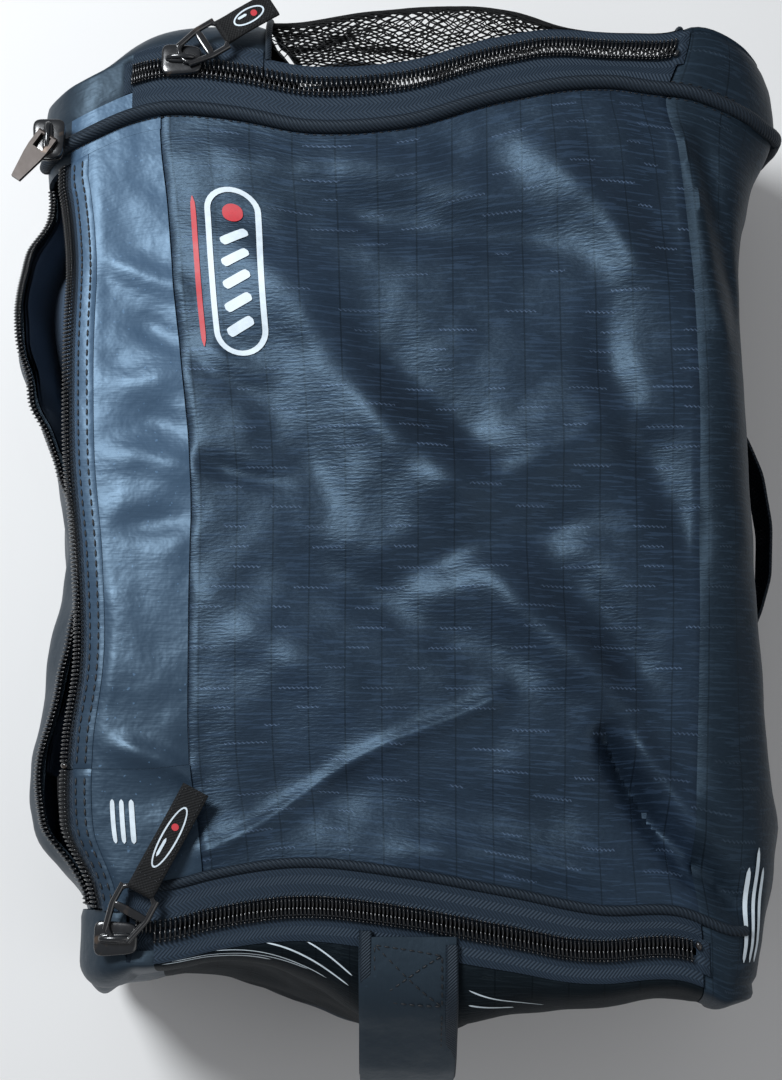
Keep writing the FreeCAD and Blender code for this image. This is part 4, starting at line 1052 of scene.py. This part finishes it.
strip = on_top_y(STRIP_EDGE)
for name, side in (("outer", 0.0028), ("inner", 0.0082)):
    for part, start, end, body in (("strip", STRIP_LOW + 0.002, STRIP_HIGH - 0.002, "pocket_front"),
                                   ("foot", PANEL_PRINT + 0.004, STRIP_LOW - 0.003, "bag")):
        fit(stitches(f"{part}_stitch_{name}", strip, start, end, side, STITCH, 0.0052, 0.0042, 0.0014, 0.0006),
            body, "coated")

# ---------------------------------------------------------------- handles


def resample(points, count):
    """Even steps along a bent line: how far each is, and its two coordinates."""
    points = np.array(points)
    length = distance(points)
    fine = np.linspace(0, length[-1], count)
    return fine, np.interp(fine, length, points[:, 0]), np.interp(fine, length, points[:, 1])


def soften(values, passes):
    for _ in range(passes):
        values[1:-1] = (values[:-2] + 2 * values[1:-1] + values[2:]) / 4


# The end handle starts on the flap's round, leaves it, bends and comes back to the flap.
centre_y, centre_z, hug_round = PRINT_END + ROUND, TOP - ROUND, ROUND + 0.0028
handle_low, handle_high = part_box("end_handle")
width_x = handle_high.x - handle_low.x
mid_x = middle("end_handle").x
points = [(centre_y + 0.009, TOP + 0.0032), (centre_y + 0.003, TOP + 0.003)]
points += [(centre_y - hug_round * math.sin(a), centre_z + hug_round * math.cos(a))
           for a in np.radians(np.linspace(14, 58, 9))]
points += [(-0.2655, 0.1425), (-0.2745, 0.131), (-0.2805, 0.118), (-0.2832, 0.104), (-0.2825, 0.09),
           (-0.278, 0.079), (-0.2705, 0.0725), (-0.2635, 0.069), (-0.2602, 0.064), (-0.26, 0.058),
           (-0.26, handle_low.z + 0.001)]
fine, ys, zs = resample(points, 90)
handle_end = fine[-1] - 0.004
soften(ys, 6)
soften(zs, 6)


def handle_line(x):
    core = np.stack([np.full_like(ys, x), ys, zs], axis=-1)
    return slump(core, calm=True), unit(np.cross((1.0, 0, 0), unit(np.gradient(core, axis=0))))


edge_x = width_x / 2 - 0.0032
for name, x, wide, thick, cloth_of, columns, nodes in (
    ("strap", mid_x, width_x * 0.94, 0.0026, HANDLE_FACE, 24, ["end_handle"]),
    ("edge_left", mid_x - edge_x, 0.0064, 0.0042, BINDING, 10, []),
    ("edge_right", mid_x + edge_x, 0.0064, 0.0042, BINDING, 10, []),
):
    line, normal = handle_line(x)
    fit(ribbon(f"end_handle_{name}", line, (wide, 0, 0), thick, cloth_of, normal, columns=columns),
        "print_end_flap", "handle_webbing", *nodes)


def on_handle(t, side):
    """t runs along the handle from its top, side across it."""
    y, z = np.interp(t, fine, ys), np.interp(t, fine, zs)
    e = 0.001
    ty, tz = np.interp(t + e, fine, ys) - y, np.interp(t + e, fine, zs) - z
    size = np.maximum(np.hypot(ty, tz), 1e-9)
    p = np.stack([mid_x + side, y, z], axis=-1)
    normal = np.stack([0 * y, tz / size, -ty / size], axis=-1)
    inward = (normal * (p - np.array([mid_x, centre_y, centre_z]))).sum(-1, keepdims=True) < 0
    return slump(p, calm=True) + normal * np.where(inward, -1, 1) * 0.0014


def handle_stitch(name, a, b, count):
    a, b = np.array(a), np.array(b)
    t, side = (a + (b - a) * ((np.arange(count) + 0.5) / count)[:, None]).T
    c = on_handle(t, side)
    step = (b - a) / math.hypot(*(b - a)) * 0.0008
    along = unit(on_handle(t + step[0], side + step[1]) - c)
    across = unit(on_handle(t - step[1], side + step[0]) - c)
    fit(many(name, c, along, across, unit(np.cross(along, across)), (0.0016, 0.00045, 0.00045), STITCH, ball(4, 6)),
        "print_end_flap", "handle_webbing")


half = width_x / 2 - 0.008
near, far = 0.006, 0.03
for i, (p, q) in enumerate((
    ((near, -half), (near, half)), ((far, -half), (far, half)), ((near, -half), (far, -half)),
    ((near, half), (far, half)), ((near, -half), (far, half)), ((near, half), (far, -half)),
)):
    handle_stitch(f"end_handle_box_{i}", p, q, max(5, round(math.dist(p, q) / 0.0042)))
for name, side in (("a", -half), ("b", half)):
    handle_stitch(f"end_handle_run_{name}", (0.035, side), (handle_end, side), 30)

# The side handle stands off the right gusset between two sewn feet.
side_low, side_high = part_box("side_handle")
gx, y0, y1, foot = side_low.x, side_low.y, side_high.y, 0.024
half_bow = [(0.0014, 0), (0.0014, foot * 0.8), (0.003, foot), (0.009, foot + 0.012), (0.0155, foot + 0.03)]
points = [(gx + x, y0 + y) for x, y in half_bow] + [(gx + 0.0183, (y0 + y1) / 2)]
points += [(gx + x, y1 - y) for x, y in half_bow[::-1]]
_, xs, yy = resample(points, 100)
soften(xs, 8)
core = np.stack([xs, yy, np.full_like(xs, middle("side_handle").z)], axis=-1)
outward = unit(np.cross(unit(np.gradient(core, axis=0)), (0, 0, 1.0)))
fit(ribbon("side_handle_strap", slump(core, calm=True), (0, 0, side_high.z - side_low.z), 0.0026, WEBBING,
           outward, rib=0.22, columns=60), "bag", "handle_webbing", "side_handle")

# ---------------------------------------------------------------- tabs

UP = np.array([0, 0, 1.0])


def pivot(joint):
    return np.array(JOINTS[joint]["pos_m"])


def tab(stem, reach, width):
    """Webbing folded round its bar and sewn to itself."""
    node = f"{stem}_tab"
    at = pivot(f"{node}_lift")
    axis = JOINTS[f"{node}_lift"]["axis"]
    out = unit(np.array((-axis[1], axis[0], 0)))
    if np.dot(np.array(middle(node)) - at, out) < 0:
        out = -out
    axis = np.array((out[1], -out[0], 0))
    eye, half = 0.0021, 0.00125
    section = [(reach, half), (reach * 0.75, half * 1.1), (reach * 0.45, half), (0.006, half * 1.1)]
    section += [(eye * math.cos(a), eye * math.sin(a)) for a in np.radians(np.linspace(60, 300, 11))]
    section += [(0.006, -half * 1.05), (reach * 0.45, -half), (reach * 0.75, -half), (reach, -half)]
    dense, sx, sz = resample(section, 110)
    n, columns = len(dense), 18
    k = np.linspace(-1, 1, columns)
    z = sz[:, None] * (1 - 0.35 * np.abs(k) ** 8) + (0.0005 * np.sin(sx * 130) * np.minimum(1, sx / 0.01))[:, None]
    points = at + out * sx[:, None, None] + axis * (k * width / 2)[None, :, None] + UP * z[..., None]
    grid = np.arange(n * columns).reshape(n, columns)
    faces = quads_of(grid).tolist()
    grid = grid.tolist()
    for j in (0, columns - 1):
        faces += [[grid[i][j], grid[i + 1][j], grid[n - 2 - i][j], grid[n - 1 - i][j]] for i in range(n // 2 - 1)]
    faces += [[grid[0][j], grid[0][j + 1], grid[-1][j + 1], grid[-1][j]] for j in range(columns - 1)]
    uvs = np.stack(np.broadcast_arrays(dense[:, None], (k * width / 2)[None]), axis=-1).reshape(-1, 2)
    fit(mesh_object(f"{node}_webbing", points.reshape(-1, 3), faces, TAB, uvs, smooth=50), node, "tab_webbing", node)

    def on_tab(t, side, lift):
        t, side = np.broadcast_arrays(t, side)
        p = at + out * t[:, None] + axis * side[:, None]
        p[:, 2] += half * 1.05 + lift + 0.0005 * np.sin(t * 130)
        return p

    near, far, edge = 0.007, reach - 0.002, 0.8 * width / 2
    for i, (a, b) in enumerate((((near, -edge), (far, -edge)), ((near, edge), (far, edge)),
                                ((near, -edge), (near, edge)), ((far, -edge), (far, edge)))):
        a, b = np.array(a), np.array(b)
        gap = math.dist(a, b)
        count = max(3, round(gap / 0.0026))
        t, side = (a + (b - a) * ((np.arange(count) + 0.5) / count)[:, None]).T
        c = on_tab(t, side, 0.0)
        step = (b - a) / gap * 0.0005
        al = unit(on_tab(t + step[0], side + step[1], 0) - c)
        ac = unit(np.cross(UP, al))
        fit(many(f"{node}_stitch_{i}", c, al, ac, np.cross(al, ac), (0.0009, 0.0003, 0.0003), STITCH),
            node, "tab_webbing")
    return on_tab


TAB_REACH = {"zip1": 0.030, "zip2": 0.054}
tab_places = {stem: tab(stem, TAB_REACH[stem], 0.0138) for stem in ("zip2", "zip1")}

# ---------------------------------------------------------------- generic markings


def printed(name, place, flat, faces, lift, material, body, slot):
    """Thin ink on cloth, its faces turned outwards."""
    p = place(flat[:, 0], flat[:, 1], lift)
    a, b, c = (p[i] for i in faces[0][:3])
    away = place(flat[:1, 0], flat[:1, 1], lift + 0.001)[0] - p[0]
    if np.dot(np.cross(b - a, c - b), away) < 0:
        faces = [f[::-1] for f in faces]
    fit(mesh_object(name, p, faces, material, flat, smooth=180), body, slot)


def ink(name, place, outline, inner, material, body, slot, lift=0.0006):
    """A printed ring between two closed outlines with as many points each, or a filled outline."""
    outline = np.array(outline)
    if inner is None:
        inner = outline.mean(0) + (outline - outline.mean(0)) * 0.02
    n, layers = len(outline), 5
    k = np.linspace(0, 1, layers)[None, :, None]
    flat = (outline[:, None] * (1 - k) + np.array(inner)[:, None] * k).reshape(-1, 2)
    faces = [[i * layers + m, j * layers + m, j * layers + m + 1, i * layers + m + 1]
             for i, j in zip(range(n), [*range(1, n), 0]) for m in range(layers - 1)]
    printed(name, place, flat, faces, lift, material, body, slot)


def stadium(cx, cy, width, height):
    """A rounded bar's outline, its long side along the second coordinate."""
    r, straight = width / 2, height / 2 - width / 2
    turn = np.linspace(0, math.pi, 17)
    run = straight * (1 - np.arange(1, 12) / 6)
    x = np.concatenate([r * np.cos(turn), np.full(11, -r), -r * np.cos(turn), np.full(11, r)])
    y = np.concatenate([straight + r * np.sin(turn), run, -straight - r * np.sin(turn), -run])
    return np.stack([cx + x, cy + y], axis=-1)


def bar(name, place, a, b, width, material, body, slot, lift=0.0006, steps=24):
    """A thin straight printed line from a to b."""
    a, b = np.array(a, float), np.array(b, float)
    d = (b - a) / np.linalg.norm(b - a)
    k = np.linspace(0, 1, steps)[:, None]
    half = np.array([-d[1], d[0]]) * width / 2 * np.sqrt(np.clip(1 - (2 * k - 1) ** 12, 0.02, 1))
    flat = np.stack([a + (b - a) * k + half, a + (b - a) * k - half], axis=1).reshape(-1, 2)
    faces = [[2 * i, 2 * i + 1, 2 * i + 3, 2 * i + 2] for i in range(steps - 1)]
    printed(name, place, flat, faces, lift, material, body, slot)


def over_print(x, s, lift):
    """From the print flap's zip over the rounding and down its face."""
    y = np.maximum(PRINT_FLAP - s, PRINT_END)
    z = TOP - np.maximum(s - (PRINT_FLAP - PRINT_END), 0)
    return slump(skin(np.stack([x, y, z], axis=-1), lift))


def over_right(t, side, lift):
    """t down the right gusset from its seam, side along it."""
    x = np.minimum(RIGHT_SEAM + t, RIGHT)
    z = TOP - np.maximum(t - (RIGHT - RIGHT_SEAM), 0)
    return slump(skin(np.stack([x, side, z], axis=-1), lift))


front = on_top_x(0.0)
mark_x, mark_y = -0.074, 0.130
ink("front_mark_frame", front, stadium(mark_x, mark_y, 0.026, 0.094), stadium(mark_x, mark_y, 0.0205, 0.0885),
    WHITE, "bag", "ripstop")
for i, y in enumerate((0.098, 0.1105, 0.123, 0.1355, 0.148)):
    bar(f"front_mark_bar_{i}", front, (mark_x - 0.0062, y - 0.0035), (mark_x + 0.0062, y + 0.0035), 0.0052,
        WHITE, "bag", "ripstop")
ink("front_mark_dot", front, stadium(mark_x, 0.1625, 0.0095, 0.0105), None, RED, "bag", "ripstop", lift=0.0007)
bar("front_mark_rule", front, (-0.0925, 0.088), (-0.0925, 0.171), 0.0026, RED, "bag", "ripstop")
for i, (a, b, width) in enumerate((
    ((-0.122, 0.012), (-0.07, 0.030), 0.0018), ((-0.118, 0.0085), (-0.05, 0.033), 0.0010),
    ((-0.098, 0.008), (-0.04, 0.036), 0.0010), ((-0.072, 0.008), (-0.028, 0.033), 0.0014),
    ((-0.05, 0.0085), (-0.026, 0.024), 0.0010), ((0.033, 0.022), (0.07, 0.044), 0.0010),
    ((0.033, 0.034), (0.055, 0.046), 0.0016),
)):
    bar(f"flap_line_{i}", over_print, a, b, width, WHITE, "print_end_flap", "print_cloth", lift=0.0005)
for i, x in enumerate((-0.148, -0.1415, -0.135)):
    bar(f"foot_mark_bar_{i}", front, (x, -0.165), (x, -0.143), 0.0032, WHITE, "bag", "coated")
for i, (t, end) in enumerate(((0.028, -0.158), (0.0355, -0.150), (0.043, -0.158))):
    bar(f"gusset_mark_bar_{i}", over_right, (t, -0.205), (t, end), 0.0036, WHITE, "bag", "gusset_cloth")
for stem, reach in TAB_REACH.items():
    place, on_node = tab_places[stem], (f"{stem}_tab", "tab_webbing")
    long, wide, edge = reach * 0.3, 0.0042, 0.0009
    outline = stadium(0, 0, 2, 2)[:, ::-1]
    ink(f"{stem}_tab_frame", place, (reach * 0.52, 0) + outline * (long, wide),
        (reach * 0.52, 0) + outline * (long - edge, wide * 0.8), WHITE, *on_node, lift=0.0003)
    ink(f"{stem}_tab_dot", place, stadium(reach * 0.62, 0, 0.0034, 0.0036), None, RED, *on_node, lift=0.0003)
    bar(f"{stem}_tab_bar", place, (reach * 0.32, -0.0012), (reach * 0.5, -0.0012), 0.0014, WHITE, *on_node,
        lift=0.0003, steps=8)

# ---------------------------------------------------------------- sliders and pulls


def block(name, centre, along, half, power, material, taper=0.0):
    """A cast block: a ball squared off, narrower towards -along by taper."""
    vertices, faces = ball(24, 36)
    v = np.sign(vertices) * np.abs(vertices) ** power
    v /= np.abs(v).max(axis=0)
    v[:, 1] *= 1 - taper * (1 - v[:, 0]) / 2
    return mesh_object(name, centre + (v * half) @ np.array([along, np.cross(UP, along), UP]), faces, material,
                       smooth=60)


def rounded_loop(corners):
    p = np.array(corners)
    for _ in range(3):
        after = np.roll(p, -1, axis=0)
        p = np.stack([0.75 * p + 0.25 * after, 0.25 * p + 0.75 * after], axis=1).reshape(-1, 3)
    return np.vstack([p, p[:2]])


for stem, travel in (("zip1", (1, 0, 0)), ("zip2", (1, 0, 0)), ("zip3", (0, -1, 0))):
    node = f"{stem}_slider"
    a, b = (np.array(v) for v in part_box(node))
    travel = np.array(travel, float)
    long, wide = (abs(np.dot(b - a, v)) / 2 for v in (travel, np.cross(UP, travel)))
    x, y, _ = (a + b) / 2
    deck = a[2] + 0.0085
    for part, z, half, power, taper, *nodes in (
        ("deck", deck - 0.0022, (long, wide, 0.0022), 0.42, -0.22, node),
        ("base", a[2] + 0.00095, (long * 0.94, wide * 0.92, 0.00095), 0.42, -0.22),
        ("crown", deck, (long * 0.78, 0.0030, 0.0022), 0.55, 0.2),
    ):
        fit(block(f"{node}_{part}", (x, y, z), travel, half, power, SLIDER, taper), node, "slider_metal", *nodes)
    t = np.radians(np.linspace(-12, 192, 26))[:, None]
    arch = (x, y, deck + 0.0004) + np.cos(t) * long * 0.66 * travel + np.sin(t) * (b[2] - deck - 0.0018) * UP
    fit(tube(f"{node}_bridge", arch, 0.0014, SLIDER, around=12), node, "slider_metal")

for stem, narrow, wide in (("zip1", 0.0105, 0.0165), ("zip2", 0.0115, 0.0185)):
    node = f"{stem}_pull"
    start = pivot(f"{stem}_pull_lift")
    bridge = pivot(f"{stem}_tab_lift") - start
    out = unit(bridge * (1, 1, 0))
    reach = np.dot(bridge, out)

    def at(t, side):
        return start + out * t + np.cross(UP, out) * side

    neck = reach * 0.55
    loop = rounded_loop([at(0, -narrow / 2), at(neck, -wide / 2), at(reach, -wide / 2),
                         at(reach, wide / 2), at(neck, wide / 2), at(0, narrow / 2)])
    fit(tube(f"{stem}_pull_loop", loop, 0.0013, PLASTIC, around=12), node, "pull_plastic", node)
    for i, side in enumerate((-0.5, 0.5)):
        rail = [at(t, side * (narrow + (wide - narrow) * min(1, t / neck)))
                for t in np.linspace(reach * 0.06, reach * 0.95, 16)]
        fit(tube(f"{stem}_pull_rail_{i}", rail, 0.0016, PLASTIC, around=10), node, "pull_plastic")
    fit(block(f"{stem}_pull_bar", at(neck, 0), out, (0.0021, wide / 2, 0.0012), 0.6, PLASTIC), node, "pull_plastic")

leaf = frame["nodes"]["zip3_pull"].data.materials
leaf.clear()
leaf.append(LEAF)

# ---------------------------------------------------------------- floor, light and camera

floor_shade = bpy.data.materials.new("floor")
floor_shade.use_nodes = True
shader = floor_shade.node_tree.nodes["Principled BSDF"].inputs
shader["Base Color"].default_value = (0.74, 0.735, 0.725, 1)
shader["Roughness"].default_value = 0.8
floor_z = -0.0004
mesh_object("floor", [(x, y, floor_z) for x, y in ((-4, -4), (4, -4), (4, 4), (-4, 4))],
                     [(0, 1, 2, 3)], floor_shade)


def into_scene(name, data, place, turn):
    obj = bpy.data.objects.new(name, data)
    bpy.context.scene.collection.objects.link(obj)
    obj.location, obj.rotation_euler = place, turn
    return obj


def area_light(name, place, target, size, power, colour=(1, 1, 1)):
    light = bpy.data.lights.new(name, "AREA")
    light.shape = "DISK"
    light.size, light.energy, light.color = size, power, colour
    into_scene(name, light, place, (Vector(target) - Vector(place)).to_track_quat("-Z", "Y").to_euler())


area_light("key", (-0.62, 0.46, 1.2), (-0.02, 0.02, 0.14), 0.42, 20, (0.93, 0.965, 1.0))
area_light("fill", (1.2, -0.9, 1.5), (0, 0, 0.1), 1.6, 5)
world = bpy.data.worlds.new("studio")
world.use_nodes = True
sky = world.node_tree.nodes["Background"].inputs
sky["Color"].default_value = (0.93, 0.95, 1.0, 1)
sky["Strength"].default_value = 0.3
bpy.context.scene.world = world

camera_data = bpy.data.cameras.new("camera")
camera_data.sensor_fit = "VERTICAL"
camera_data.sensor_height = 24
camera_data.lens = 40
camera_place, camera_turn = (-0.0045, -0.1688, 1.0563), (math.radians(10), 0, 0)
bpy.context.scene.camera = into_scene("camera", camera_data, camera_place, camera_turn)
bpy.context.scene.view_settings.view_transform = "Standard"
